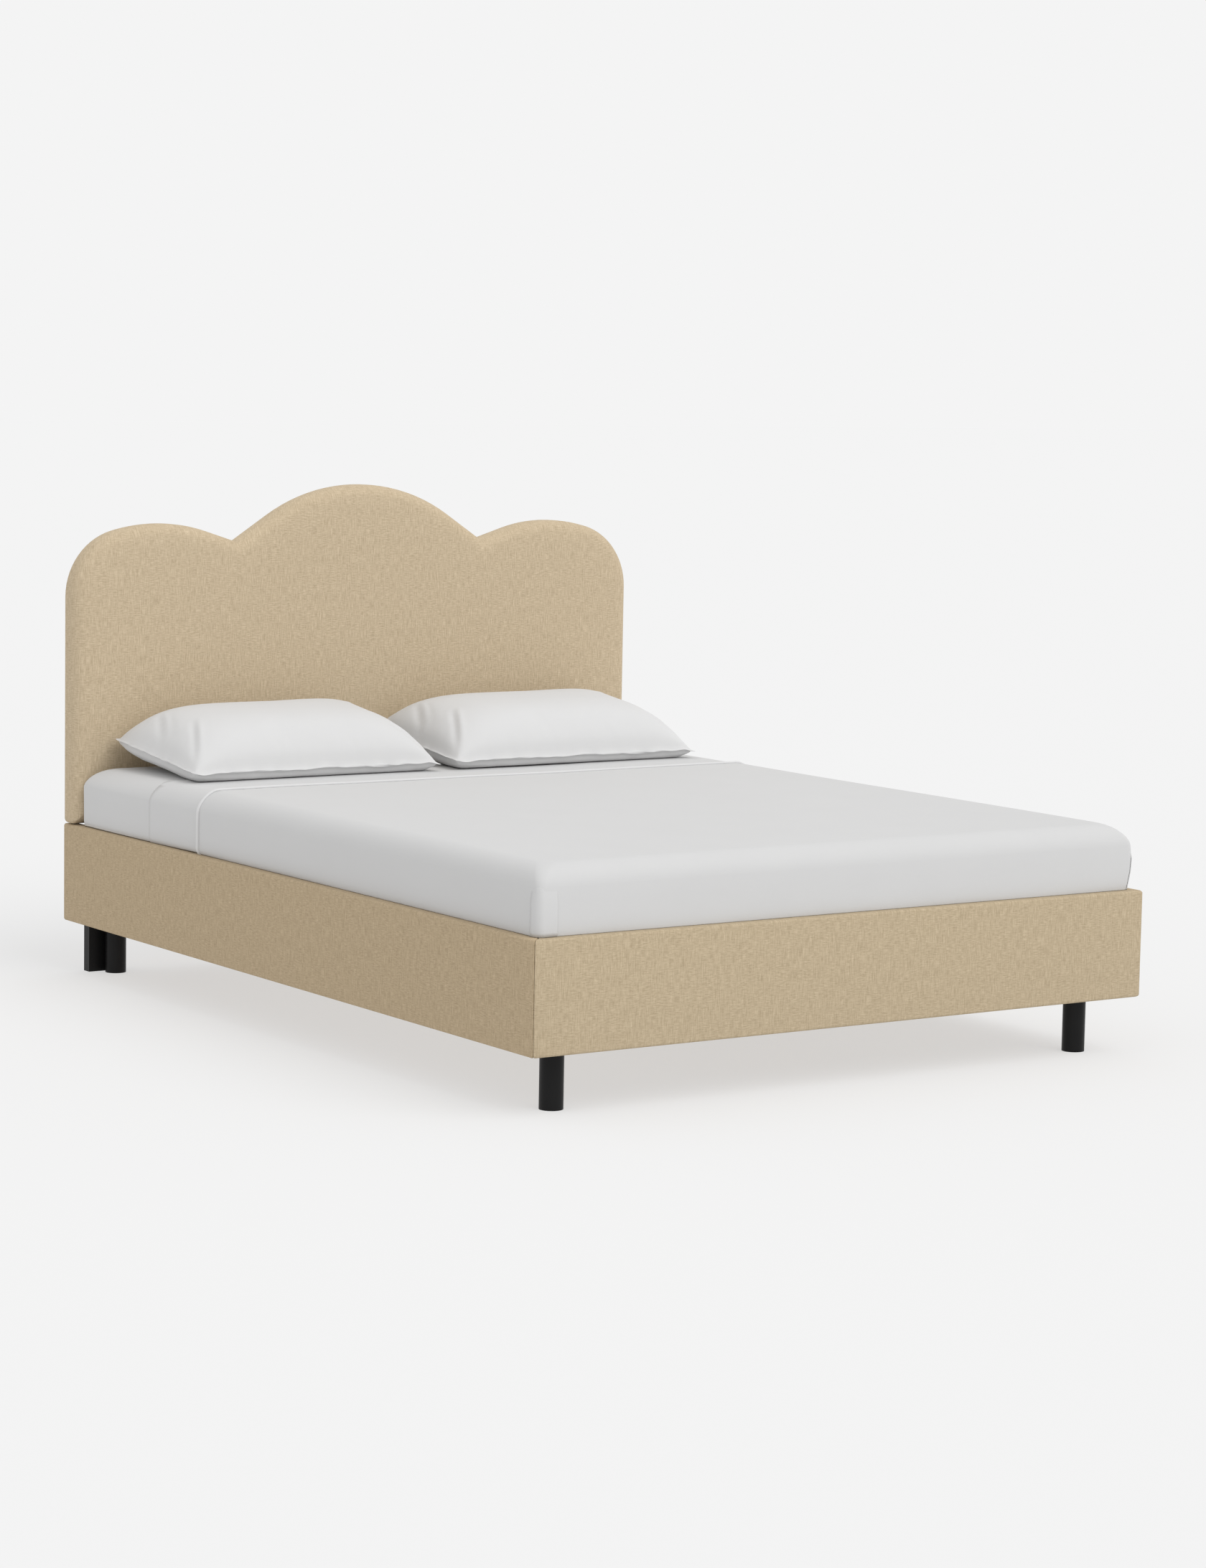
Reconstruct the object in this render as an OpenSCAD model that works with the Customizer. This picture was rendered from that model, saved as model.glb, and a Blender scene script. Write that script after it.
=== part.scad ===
// Upholstered platform bed with a three-arch headboard, made up with mattress, sheets and pillows.
// Millimetres. +Z is up, +Y is the head end, X is across the bed.
// The origin is on the floor under the middle of the bed.

/* [Bed frame] */
// Width over the side rails
bed_w = 1620; // [1450:1:1960]
// Length from the foot rail's face to the side rails' head ends
bed_l = 2140; // [1750:1:2600]
// Clear height between the floor and the rails
floor_gap = 128; // [100:1:220]
// Height of the upholstered rails
rail_h = 241; // [200:1:320]
// Thickness of the timber board inside a rail
rail_board_t = 23; // [18:1:30]
// Foam on the outer face of a rail
rail_foam_t = 10; // [5:1:16]
// Foam along the top edge of a rail
rail_top_foam_t = 4; // [2:1:8]
// Radius of the rails' upholstered edges
rail_edge_r = 6; // [3:1:8]
// Thickness of the head rail's board
head_rail_t = 15; // [12:1:20]
// How far the head rail's top stays below the rails' top
head_rail_drop = 10; // [0:1:20]

/* [Headboard] */
// How far the headboard stands out past each side rail
head_overhang = 4; // [0:1:20]
// Height of the middle arch above the floor
head_top = 1200; // [1100:1:1500]
// Height of the side arches above the floor
side_arch_top = 1105; // [1000:1:1400]
// Radius of the middle arch
mid_arch_r = 475; // [420:1:540]
// Slope of the middle arch's straight ends, in degrees
mid_slope = 33; // [30:0.5:38]
// Radius of the shoulder at each outer corner
shoulder_r = 167; // [120:1:190]
// Angle where the shoulder runs into the side arch, in degrees
shoulder_slope = 15.5; // [12:0.5:20]
// Radius of a side arch towards the shoulder
side_arch_r = 460; // [400:1:500]
// Radius of a side arch towards the middle
inner_arch_r = 420; // [380:1:460]
// Slope of a side arch's straight end, in degrees
inner_slope = 17.5; // [15:0.5:20]
// Radius of the headboard's bottom corners
head_foot_r = 12; // [10.5:0.5:20]
// Gap between the rails and the headboard's bottom edge
head_gap = 2; // [1:0.5:10]
// Thickness of the plywood panel
panel_t = 9; // [6:1:15]
// Depth of the timber frame behind the panel
head_frame_t = 28; // [22:1:36]
// Foam in front of the panel
head_foam_t = 20; // [15:1:40]
// Foam round the headboard's edge
edge_foam_t = 8; // [6:1:15]
// Depth of the rounding at the headboard's front edge
front_round = 18; // [10:1:19]
// Distance from the headboard's back to the side rails' head ends
head_setback = 12; // [5:1:40]
// Width of a headboard post
post_w = 75; // [60:1:90]
// Gap between a post and the side rail
post_side_gap = 14; // [4:1:120]
// Height of the post tops above the floor
post_top = 940; // [700:1:960]
// Width of the headboard's edge frame
edge_frame_w = 30; // [25:1:35]
// Height of a headboard batten
batten_h = 70; // [50:1:90]

/* [Fabric] */
// Thickness of the upholstery fabric
fabric_t = 1.5; // [1:0.1:2]
// Thickness of a bed sheet
sheet_t = 1.2; // [0.8:0.1:2]
// Thickness of the coverlet
coverlet_t = 2.4; // [1.5:0.1:5]

/* [Legs] */
// Radius of a round corner leg
leg_r = 25.5; // [20:0.5:32]
// Distance from a corner leg's axis to the side rail's outer face
leg_inset_x = 109; // [90:1:115]
// Distance from a foot leg's axis to the foot rail's outer face
foot_leg_inset = 96; // [85:1:115]
// Distance from a head leg's axis to the head rail
head_leg_inset = 28; // [26:0.5:40]
// Side of a square corner block
block_w = 120; // [110:1:130]
// Height of a corner block
block_h = 42; // [35:1:60]
// Radius of a leg's bolt
leg_bolt_r = 4; // [3:0.5:5]
// Depth of a leg's bolt in the leg
leg_bolt_low = 40; // [30:1:60]
// Depth of a leg's bolt in the corner block
leg_bolt_high = 34; // [25:1:34]

/* [Slat base] */
// Height of the slats' top above the rails' lower edge
deck_h = 128; // [110:1:140]
// Number of slats
slat_count = 12;
// Width of a slat
slat_w = 90; // [70:1:100]
// Thickness of a slat
slat_t = 19; // [16:1:22]
// Gap between a slat's end and the rail
slat_end_gap = 3; // [2:1:8]
// Distance from the first and last slat's edge to the end rails
slat_first = 70; // [68:1:100]
// Width of the cleat that carries the slats
cleat_w = 25; // [20:1:40]
// Height of the cleat
cleat_h = 40; // [30:1:48]
// Width of the middle beam
beam_w = 45; // [40:1:60]
// Height of the middle beam
beam_h = 64; // [50:1:64]
// Thickness of the beam hangers' steel
hanger_t = 2; // [1.5:0.5:3]
// Length of a beam hanger's seat
hanger_l = 40; // [30:1:60]
// How far a beam hanger's plate reaches below its seat
hanger_tail = 24; // [20:1:26]
// Distance from a beam hanger's top to the slats
hanger_drop = 4; // [2:1:10]

/* [Middle legs] */
// Distance between the middle legs
mid_leg_pitch = 550; // [300:1:600]
// Distance from the head rail to the nearest middle leg
mid_leg_back = 263; // [150:1:400]
// Radius of a middle leg
mid_leg_r = 19; // [15:0.5:21]
// Thickness of a middle leg's top plate
plate_t = 3; // [2:0.5:5]
// Length of a middle leg's top plate
plate_l = 90; // [80:1:110]
// Radius of a levelling glide
glide_r = 16; // [12:0.5:18]
// Thickness of a levelling glide
glide_t = 8; // [6:0.5:10]
// Travel of a levelling glide
glide_travel = 12; // [8:1:14]
// Radius of a glide's screw
glide_screw_r = 4; // [3:0.5:5]
// Length of a glide's screw
glide_screw_l = 38; // [34:1:45]
// Clear height over a glide at the top of its travel
glide_over = 2; // [1:0.5:5]
// Clear hole over a glide's screw at the top of its travel
glide_hole_over = 4; // [2:0.5:8]

/* [Brackets and bolts] */
// Length of a corner bracket's flange
bracket_l = 60; // [50:1:62]
// Gap under and over a corner bracket
bracket_gap = 2; // [1:0.5:3]
// Thickness of a corner bracket
bracket_t = 3; // [2:0.5:4]
// Radius of a frame bolt
bolt_r = 4; // [3:0.5:5]
// Radius of a frame bolt's head
bolt_head_r = 9; // [7:0.5:10]
// Thickness of a frame bolt's head
bolt_head_t = 4; // [3:0.5:5]
// Distance from a bracket's corner to its bolts
bolt_in = 34; // [30:1:45]
// Height between a bracket's bolts
bolt_pitch = 40; // [30:1:44]
// Height of a post's lower bolt above the rails' lower edge
post_bolt_low = 60; // [40:1:80]
// Height between a post's bolts
post_bolt_pitch = 120; // [60:1:130]
// Radius of a wood screw
screw_r = 2; // [1.5:0.1:2.5]
// Radius of a wood screw's head
screw_head_r = 4; // [3:0.5:5]
// Thickness of a wood screw's head
screw_head_t = 2.5; // [2:0.1:3]
// Length of a wood screw
screw_l = 40; // [32:1:45]
// How far a beam hanger's screw goes into an end rail
short_screw_l = 12; // [8:0.5:13]
// Timber left past the end of a frame bolt
bolt_end_t = 2; // [1:0.5:4]

/* [Mattress] */
// Gap between the mattress and each side rail
mattress_side_gap = 14; // [6:1:40]
// Gap between the mattress and the foot rail
mattress_foot_gap = 5; // [5:1:40]
// Height of the mattress
mattress_h = 252; // [180:1:320]
// How far the mattress bulges over the rails on each side
bulge_x = 23; // [0:1:26]
// How far the mattress bulges over the foot rail
bulge_y = 10; // [0:1:15]
// Radius of the mattress's top edge
mattress_edge_r = 56; // [30:1:80]
// Radius of the mattress's upright corners
mattress_corner_r = 70; // [40:1:120]
// Width of the bevel along the mattress's lower edge
mattress_bevel = 12; // [6:1:20]
// Height over which the mattress bulges out above the rails
bulge_rise = 14; // [8:1:30]
// How far the bulge's underside stops short of its full width
bulge_lip = 4; // [1:0.5:6]
// Gap between the mattress and the headboard
mattress_gap = 3; // [3:1:20]
// Distance from the headboard to the top sheet's edge
top_sheet_back = 338; // [200:1:500]
// Distance from the headboard to the coverlet's edge
coverlet_back = 600; // [400:1:900]
// How far the bedding is tucked in under the mattress
tuck_w = 120; // [60:1:300]

/* [Pillows] */
// Width of a pillow
pillow_w = 700; // [500:1:720]
// Depth of a pillow
pillow_d = 440; // [350:1:500]
// Thickness of a pillow
pillow_h = 145; // [100:1:180]
// Rise of a pillow's back edge over its front edge
pillow_rise = 46; // [0:1:80]
// Gap between the two pillows
pillow_gap = 30; // [10:1:120]
// How far the pair of pillows sits to the right of the bed's middle
pillow_shift = -18; // [-30:1:30]
// Share of a pillow's thickness below its seam
pillow_low_share = 0.22; // [0.15:0.01:0.4]
// Share of the back edge's rise that lifts a pillow's middle
pillow_rise_share = 0.2; // [0.1:0.05:0.5]
// Gap between the pillows and the headboard
pillow_back_gap = 16; // [10:1:60]

/* [Clearances] */
// Gap between bodies that lift apart
lift_gap = 0.4; // [0.3:0.1:2]
// Gap round a bolt or screw
bolt_gap = 0.2; // [0.1:0.05:0.5]
// Gap round a glide's screw
thread_gap = 0.05; // [0.02:0.01:0.1]
// Gap round a post where it leaves the headboard's cover
post_gap = 0.5; // [0.3:0.1:2]

/* [Hidden] */
ARC_STEPS = 14;
ROUND_STEPS = 5;
EPS = 0.01;
CUT = 1;
FINE = 64;
COARSE = 32;
CROWN_POWER = 0.7;
BELLY_POWER = 0.35;
head_w = bed_w + 2 * head_overhang;
half_w = bed_w / 2;
half_l = bed_l / 2;
rail_t = rail_board_t + rail_foam_t + 2 * fabric_t;
rail_in_x = half_w - rail_t;
foot_in_y = rail_t - half_l;
rail_top = floor_gap + rail_h;
board_u = fabric_t + rail_foam_t;
board_z = rail_top - fabric_t - rail_top_foam_t;
head_t = head_frame_t + panel_t + head_foam_t + 2 * fabric_t;
head_back_y = half_l - head_setback;
head_front_y = head_back_y - head_t;
post_back_y = head_back_y - fabric_t;
post_front_y = post_back_y - head_frame_t;
post_edge_x = rail_in_x - post_side_gap;
panel_front_y = post_front_y - panel_t;
head_rail_y = post_front_y - head_rail_t;
head_bottom = rail_top + head_gap;
frame_inset = fabric_t + edge_foam_t;
deck_top = floor_gap + deck_h;
slat_under = deck_top - slat_t;
slat_half = rail_in_x - slat_end_gap;
slat_start = foot_in_y + slat_first + slat_w / 2;
slat_end = head_rail_y - slat_first - slat_w / 2;
slat_pitch = (slat_end - slat_start) / (slat_count - 1);
cleat_start = foot_in_y + bracket_l + bolt_gap;
cleat_end = head_rail_y - bracket_l - bolt_gap;
cleat_mid_x = rail_in_x - cleat_w / 2;
beam_under = slat_under - beam_h;
beam_start = foot_in_y + hanger_t;
beam_end = head_rail_y - hanger_t;
mid_leg_ys = [for (i = [2:-1:0]) head_rail_y - mid_leg_back - i * mid_leg_pitch];
glide_rest_top = glide_t + glide_travel + glide_over;
glide_hole_top = glide_t + glide_screw_l + glide_travel + glide_hole_over;
leg_x = half_w - leg_inset_x;
leg_ys = [foot_leg_inset - half_l, head_rail_y - head_leg_inset + head_rail_t];
bracket_low = floor_gap + block_h + bracket_gap;
bracket_h = deck_top - bracket_gap - bracket_low;
bolt_zs = [bracket_low + (bracket_h - bolt_pitch) / 2, bracket_low + (bracket_h + bolt_pitch) / 2];
post_bolt_zs = [floor_gap + post_bolt_low, floor_gap + post_bolt_low + post_bolt_pitch];
mattress_w = 2 * (rail_in_x - mattress_side_gap);
mattress_low = deck_top + lift_gap + 2 * sheet_t + coverlet_t;
mattress_top = mattress_low + mattress_h;
bulge_low = rail_top + lift_gap + 2 * sheet_t + coverlet_t;
mattress_head_y = head_front_y - mattress_gap;
mattress_foot_y = foot_in_y + mattress_foot_gap;
bedding_top = mattress_top + 2 * sheet_t;
corner_x = head_w / 2 - shoulder_r;
side_peak_x = corner_x - (side_arch_r - shoulder_r) * sin(shoulder_slope);
shoulder_z = side_arch_top - side_arch_r + (side_arch_r - shoulder_r) * cos(shoulder_slope);

SIDES = ["left", "right"];
ENDS = ["foot", "head"];
SLAT_NODES = [for (i = [1:slat_count]) str("slat_", i)];
MID_LEG_NODES = [for (i = [1:3]) str("middle_leg_", i)];
GLIDE_NODES = [for (i = [1:3]) str("glide_", i)];
LEG_NODES = [for (e = ENDS, s = SIDES) str(e, "_leg_", s)];
RAIL_NODES = [for (s = SIDES, p = ["board", "foam", "cover"]) str("side_rail_", p, "_", s)];

// ---- shared shapes ----

// Points on an arc from angle a0 to a1 round (cx, cy)
function arc(cx, cy, r, a0, a1, n = ARC_STEPS) =
    [for (i = [0:n]) let (a = a0 + (a1 - a0) * i / n) [cx + r * cos(a), cy + r * sin(a)]];

// Corners of a rectangle with rounded corners
function round_rect(x0, y0, x1, y1, r, n = 6) = concat(
    arc(x1 - r, y1 - r, r, 0, 90, n),
    arc(x0 + r, y1 - r, r, 90, 180, n),
    arc(x0 + r, y0 + r, r, 180, 270, n),
    arc(x1 - r, y0 + r, r, 270, 360, n)
);

// Extrudes an X-Z outline along Y
module along_y(y0, y1) {
    translate([0, y1, 0])
        rotate([90, 0, 0])
            linear_extrude(y1 - y0) children();
}

// Extrudes a Y-Z outline along X
module along_x(x0, x1) {
    translate([x0, 0, 0])
        rotate([90, 0, 90])
            linear_extrude(x1 - x0) children();
}

// Mirrors its children to the left side when side is "left"
module on_side(side) {
    mirror([side == "left" ? 1 : 0, 0, 0]) children();
}

// A box between two corners
module block(low, high) {
    translate(low) cube(high - low);
}

// ---- headboard ----

// Right half of the three-arch outline, set in by d, from the bottom corner to the middle
function half_outline(d) =
    let (foot_r = head_foot_r - d)
    let (x_side = head_w / 2 - d, z_low = head_bottom + d)
    let (end_x = side_peak_x - (inner_arch_r - d) * sin(inner_slope))
    let (end_z = side_arch_top - inner_arch_r + (inner_arch_r - d) * cos(inner_slope))
    let (mid_x = (mid_arch_r - d) * sin(mid_slope))
    let (mid_z = head_top - mid_arch_r + (mid_arch_r - d) * cos(mid_slope))
    let (fall = tan(inner_slope), rise = tan(mid_slope))
    let (valley_x = (mid_z - end_z + mid_x * rise + end_x * fall) / (rise + fall))
    concat(
        foot_r > 1 ? arc(x_side - foot_r, z_low + foot_r, foot_r, -90, 0, 4) : [[x_side, z_low]],
        arc(corner_x, shoulder_z, shoulder_r - d, 0, 90 - shoulder_slope),
        [for (p = arc(side_peak_x, side_arch_top - side_arch_r, side_arch_r - d,
            90 - shoulder_slope, 90, 6)) if (p[0] < corner_x) p],
        arc(side_peak_x, side_arch_top - inner_arch_r, inner_arch_r - d,
            90 + inner_slope / 6, 90 + inner_slope, 5),
        [[valley_x, mid_z - (valley_x - mid_x) * rise]],
        arc(0, head_top - mid_arch_r, mid_arch_r - d, 90 - mid_slope, 90)
    );

// The whole outline, as the right half and its mirror image
function outline(d) =
    let (right = half_outline(d), n = len(right))
    concat(right, [for (i = [n - 2:-1:0]) [-right[i][0], right[i][1]]]);

// How far the rounded front edge is set in at depth y behind the front face
function round_inset(y) =
    y >= front_round ? 0 : front_round - sqrt(pow(front_round, 2) - pow(front_round - y, 2));

// The headboard's form, set in by d from front and edge, from its front to y_back
module headboard_form(d, y_back) {
    step = front_round / ROUND_STEPS;
    for (i = [0:ROUND_STEPS - 1])
        along_y(head_front_y + d + i * step, head_front_y + d + front_round + EPS)
            polygon(outline(d + round_inset((i + 0.5) * step)));
    along_y(head_front_y + d + front_round, y_back) polygon(outline(d));
}

// The slots that the posts need through a cover or foam
module post_slots(gap) {
    for (side = SIDES)
        on_side(side)
            block([post_edge_x - post_w - gap, post_front_y - gap, head_bottom - CUT],
                [post_edge_x + gap, head_back_y - fabric_t + gap, head_bottom + frame_inset + CUT]);
}

module headboard_panel() {
    color("tan")
        along_y(panel_front_y, post_front_y) polygon(outline(frame_inset));
}

module headboard_post(side) {
    color("#1b1b1b")
        difference() {
            on_side(side)
                block([post_edge_x - post_w, post_front_y, 0], [post_edge_x, post_back_y, post_top]);
            frame_bolts_cut();
        }
}

module headboard_edge_frame() {
    inner_x = head_w / 2 - frame_inset - edge_frame_w;
    color("burlywood")
        along_y(post_front_y, post_back_y)
            difference() {
                polygon(outline(frame_inset));
                polygon(outline(frame_inset + edge_frame_w));
                translate([-inner_x, 0])
                    square([2 * inner_x, head_bottom + frame_inset + edge_frame_w + CUT]);
            }
}

module headboard_batten(low) {
    half = post_edge_x - post_w;
    color("burlywood")
        block([-half, post_front_y, low], [half, post_back_y, low + batten_h]);
}

module headboard_foam() {
    color("lightyellow")
        difference() {
            headboard_form(fabric_t, post_back_y);
            along_y(panel_front_y, post_back_y + CUT) polygon(outline(frame_inset));
            post_slots(post_gap);
        }
}

module headboard_cover() {
    color("#cbb592")
        difference() {
            headboard_form(0, head_back_y);
            headboard_form(fabric_t, head_back_y + CUT);
            post_slots(post_gap);
        }
}

module headboard_back_cover() {
    color("#3a3a3a")
        along_y(post_back_y, head_back_y) polygon(outline(fabric_t));
}

// ---- rails ----

// Plan of a right side rail, cut to a mitre at the foot, set in by d at both ends
module side_plan(d) {
    cut = d * sqrt(2);
    polygon([[rail_in_x - CUT, foot_in_y + CUT + cut], [half_w + CUT, -half_l - CUT + cut],
        [half_w + CUT, half_l - d], [rail_in_x - CUT, half_l - d]]);
}

// Plan of the foot rail, cut to a mitre at both ends, set in by d at both ends
module foot_plan(d) {
    cut = d * sqrt(2);
    polygon([[-half_w - CUT + cut, -half_l - CUT], [half_w + CUT - cut, -half_l - CUT],
        [rail_in_x - CUT - cut, foot_in_y + CUT], [CUT - rail_in_x + cut, foot_in_y + CUT]]);
}

// A right side rail's piece: its X-Z section, and how far it stays in from the rail's ends
module side_rail_piece(points, d) {
    intersection() {
        along_y(-half_l, half_l) polygon(points);
        translate([0, 0, floor_gap - CUT]) linear_extrude(rail_h + 2 * CUT) side_plan(d);
    }
}

// The foot rail's piece, from a section whose first number is the distance in from the foot face
module foot_rail_piece(points, d) {
    intersection() {
        along_x(-half_w, half_w) polygon([for (p = points) [p[0] - half_l, p[1]]]);
        translate([0, 0, floor_gap - CUT]) linear_extrude(rail_h + 2 * CUT) foot_plan(d);
    }
}

// Sections with u measured in from the outer face
function cover_section() = round_rect(0, floor_gap, rail_t, rail_top, rail_edge_r);
function filling_section() =
    round_rect(fabric_t, floor_gap + fabric_t, rail_t - fabric_t, rail_top - fabric_t,
        rail_edge_r - fabric_t);

// Turns a section measured in from the outer face into one in the side rail's own X
function to_side(points) = [for (p = points) [half_w - p[0], p[1]]];

module side_rail_filling() {
    side_rail_piece(to_side(filling_section()), fabric_t);
}

module side_board_box() {
    block([rail_in_x - CUT, -half_l - CUT, floor_gap], [half_w - board_u, half_l + CUT, board_z]);
}

module foot_board_box() {
    block([-half_w - CUT, board_u - half_l, floor_gap], [half_w + CUT, foot_in_y + CUT, board_z]);
}

module side_rail_board(side) {
    color("burlywood")
        difference() {
            on_side(side)
                intersection() {
                    side_rail_filling();
                    side_board_box();
                }
            frame_bolts_cut();
        }
}

module side_rail_foam(side) {
    color("lightyellow")
        on_side(side)
            difference() {
                side_rail_filling();
                side_board_box();
            }
}

module side_rail_cover(side) {
    color("#b5a280")
        difference() {
            on_side(side)
                difference() {
                    side_rail_piece(to_side(cover_section()), 0);
                    side_rail_filling();
                }
            frame_bolts_cut();
        }
}

module foot_rail_filling() {
    foot_rail_piece(filling_section(), fabric_t);
}

module foot_rail_board() {
    color("burlywood")
        difference() {
            intersection() {
                foot_rail_filling();
                foot_board_box();
            }
            frame_bolts_cut();
            wood_screws_cut();
        }
}

module foot_rail_foam() {
    color("lightyellow")
        difference() {
            foot_rail_filling();
            foot_board_box();
        }
}

module foot_rail_cover() {
    color("#cbb592")
        difference() {
            foot_rail_piece(cover_section(), 0);
            foot_rail_filling();
            frame_bolts_cut();
            wood_screws_cut();
        }
}

module head_rail() {
    color("burlywood")
        difference() {
            block([-rail_in_x, head_rail_y, floor_gap], [rail_in_x, post_front_y, rail_top - head_rail_drop]);
            frame_bolts_cut();
            wood_screws_cut();
        }
}

// ---- corners and legs ----

module corner_blocks() {
    color("burlywood")
        difference() {
            for (side = SIDES)
                on_side(side) {
                    block([rail_in_x - block_w, foot_in_y, floor_gap],
                        [rail_in_x, foot_in_y + block_w, floor_gap + block_h]);
                    block([rail_in_x - block_w, head_rail_y - block_w, floor_gap],
                        [rail_in_x, head_rail_y, floor_gap + block_h]);
                }
            leg_bolt_shapes(bolt_gap);
        }
}

module corner_leg(side, y) {
    color("#161616")
        difference() {
            on_side(side)
                translate([leg_x, y, 0]) cylinder(h = floor_gap, r = leg_r, $fn = FINE);
            leg_bolt_shapes(bolt_gap);
        }
}

module leg_bolt_shapes(gap) {
    for (side = SIDES, y = leg_ys)
        on_side(side)
            translate([leg_x, y, floor_gap - leg_bolt_low - gap])
                cylinder(h = leg_bolt_low + leg_bolt_high + 2 * gap, r = leg_bolt_r + gap, $fn = COARSE);
}

module leg_bolts() {
    color("silver") leg_bolt_shapes(0);
}

module corner_brackets() {
    color("dimgray")
        difference() {
            for (side = SIDES)
                on_side(side) {
                    corner_bracket(foot_in_y, 1);
                    corner_bracket(head_rail_y, -1);
                }
            frame_bolts_cut();
        }
}

// One right-hand angle bracket; dir says which way it runs from the end rail
module corner_bracket(y, dir) {
    translate([rail_in_x, y, bracket_low])
        mirror([0, dir > 0 ? 0 : 1, 0])
            linear_extrude(bracket_h)
                polygon([[0, 0], [0, bracket_l], [-bracket_t, bracket_l], [-bracket_t, bracket_t],
                    [-bracket_l, bracket_t], [-bracket_l, 0]]);
}

// A bolt whose head's underside is at the origin and whose shank runs along +Z
module bolt(length, gap) {
    translate([0, 0, -bolt_head_t - gap])
        cylinder(h = bolt_head_t + gap + EPS, r = bolt_head_r + gap, $fn = COARSE);
    cylinder(h = length + gap, r = bolt_r + gap, $fn = COARSE);
}

// Every frame bolt: two through each bracket flange, and two through each post
module frame_bolt_shapes(gap) {
    rail_bolt_l = bracket_t + fabric_t + rail_board_t - bolt_end_t;
    head_bolt_l = bracket_t + head_rail_t - bolt_end_t;
    post_bolt_l = head_frame_t + head_rail_t;
    for (side = SIDES, z = bolt_zs)
        on_side(side) {
            translate([rail_in_x - bracket_t, foot_in_y + bolt_in, z])
                rotate([0, 90, 0]) bolt(rail_bolt_l, gap);
            translate([rail_in_x - bracket_t, head_rail_y - bolt_in, z])
                rotate([0, 90, 0]) bolt(rail_bolt_l, gap);
            translate([rail_in_x - bolt_in, foot_in_y + bracket_t, z])
                rotate([90, 0, 0]) bolt(rail_bolt_l, gap);
            translate([rail_in_x - bolt_in, head_rail_y - bracket_t, z])
                rotate([-90, 0, 0]) bolt(head_bolt_l, gap);
        }
    for (side = SIDES, z = post_bolt_zs)
        on_side(side)
            translate([post_edge_x - post_w / 2, post_back_y, z]) rotate([90, 0, 0]) bolt(post_bolt_l, gap);
}

module frame_bolts_cut() {
    frame_bolt_shapes(bolt_gap);
}

module frame_bolts() {
    color("silver") frame_bolt_shapes(0);
}

// ---- slat base ----

// A wood screw whose head's top is at the origin and which runs along -Z
module screw(gap) {
    translate([0, 0, -screw_head_t - gap])
        cylinder(h = screw_head_t + 2 * gap, r = screw_head_r + gap, $fn = COARSE);
    translate([0, 0, -screw_l - gap]) cylinder(h = screw_l, r = screw_r + gap, $fn = COARSE);
}

// Every wood screw: three down through each slat, two through each hanger plate
module wood_screw_shapes(gap) {
    for (i = [0:slat_count - 1], x = [-cleat_mid_x, 0, cleat_mid_x])
        translate([x, slat_start + i * slat_pitch, deck_top]) screw(gap);
    hanger_z = beam_under - hanger_t - hanger_tail / 2;
    for (x = [-beam_w / 4, beam_w / 4]) {
        translate([x, foot_in_y + hanger_t + screw_head_t, hanger_z]) rotate([-90, 0, 0]) short_screw(gap);
        translate([x, head_rail_y - hanger_t - screw_head_t, hanger_z]) rotate([90, 0, 0]) short_screw(gap);
    }
}

// A screw short enough to stay inside the end rails' boards
module short_screw(gap) {
    translate([0, 0, -screw_head_t - gap])
        cylinder(h = screw_head_t + gap, r = screw_head_r + gap, $fn = COARSE);
    translate([0, 0, -screw_head_t - hanger_t - short_screw_l - gap])
        cylinder(h = short_screw_l + hanger_t + gap + EPS, r = screw_r + gap, $fn = COARSE);
}

module wood_screws_cut() {
    wood_screw_shapes(bolt_gap);
}

module wood_screws() {
    color("goldenrod") wood_screw_shapes(0);
}

module cleat(side) {
    color("burlywood")
        difference() {
            on_side(side)
                block([rail_in_x - cleat_w, cleat_start, slat_under - cleat_h],
                    [rail_in_x, cleat_end, slat_under]);
            wood_screws_cut();
        }
}

module slat(i) {
    y = slat_start + (i - 1) * slat_pitch;
    color("wheat")
        difference() {
            block([-slat_half, y - slat_w / 2, slat_under], [slat_half, y + slat_w / 2, deck_top]);
            wood_screws_cut();
        }
}

module middle_beam() {
    color("burlywood")
        difference() {
            block([-beam_w / 2, beam_start, beam_under], [beam_w / 2, beam_end, slat_under]);
            wood_screws_cut();
        }
}

// A steel hanger with a seat and two cheeks; dir says which way it runs from the end rail
module beam_hanger(y, dir) {
    wide = beam_w / 2 + hanger_t;
    color("dimgray")
        difference() {
            translate([0, y, 0])
                mirror([0, dir > 0 ? 0 : 1, 0]) {
                    block([-wide, 0, beam_under - hanger_t - hanger_tail],
                        [wide, hanger_t, slat_under - hanger_drop]);
                    block([-wide, 0, beam_under - hanger_t], [wide, hanger_l, beam_under]);
                    for (side = SIDES)
                        on_side(side)
                            block([beam_w / 2, 0, beam_under - hanger_t],
                                [wide, hanger_l, slat_under - hanger_drop]);
                }
            wood_screws_cut();
        }
}

module middle_leg(i) {
    y = mid_leg_ys[i - 1];
    color("#161616")
        difference() {
            union() {
                translate([0, y, glide_rest_top])
                    cylinder(h = beam_under - plate_t - glide_rest_top + EPS, r = mid_leg_r, $fn = FINE);
                block([-beam_w / 2, y - plate_l / 2, beam_under - plate_t],
                    [beam_w / 2, y + plate_l / 2, beam_under]);
            }
            translate([0, y, glide_rest_top - CUT])
                cylinder(h = glide_hole_top - glide_rest_top + CUT,
                    r = glide_screw_r + thread_gap, $fn = COARSE);
        }
}

module glide(i) {
    color("#2a2a2a")
        translate([0, mid_leg_ys[i - 1], 0]) {
            cylinder(h = glide_t, r = glide_r, $fn = FINE);
            cylinder(h = glide_t + glide_screw_l, r = glide_screw_r, $fn = COARSE);
        }
}

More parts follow.
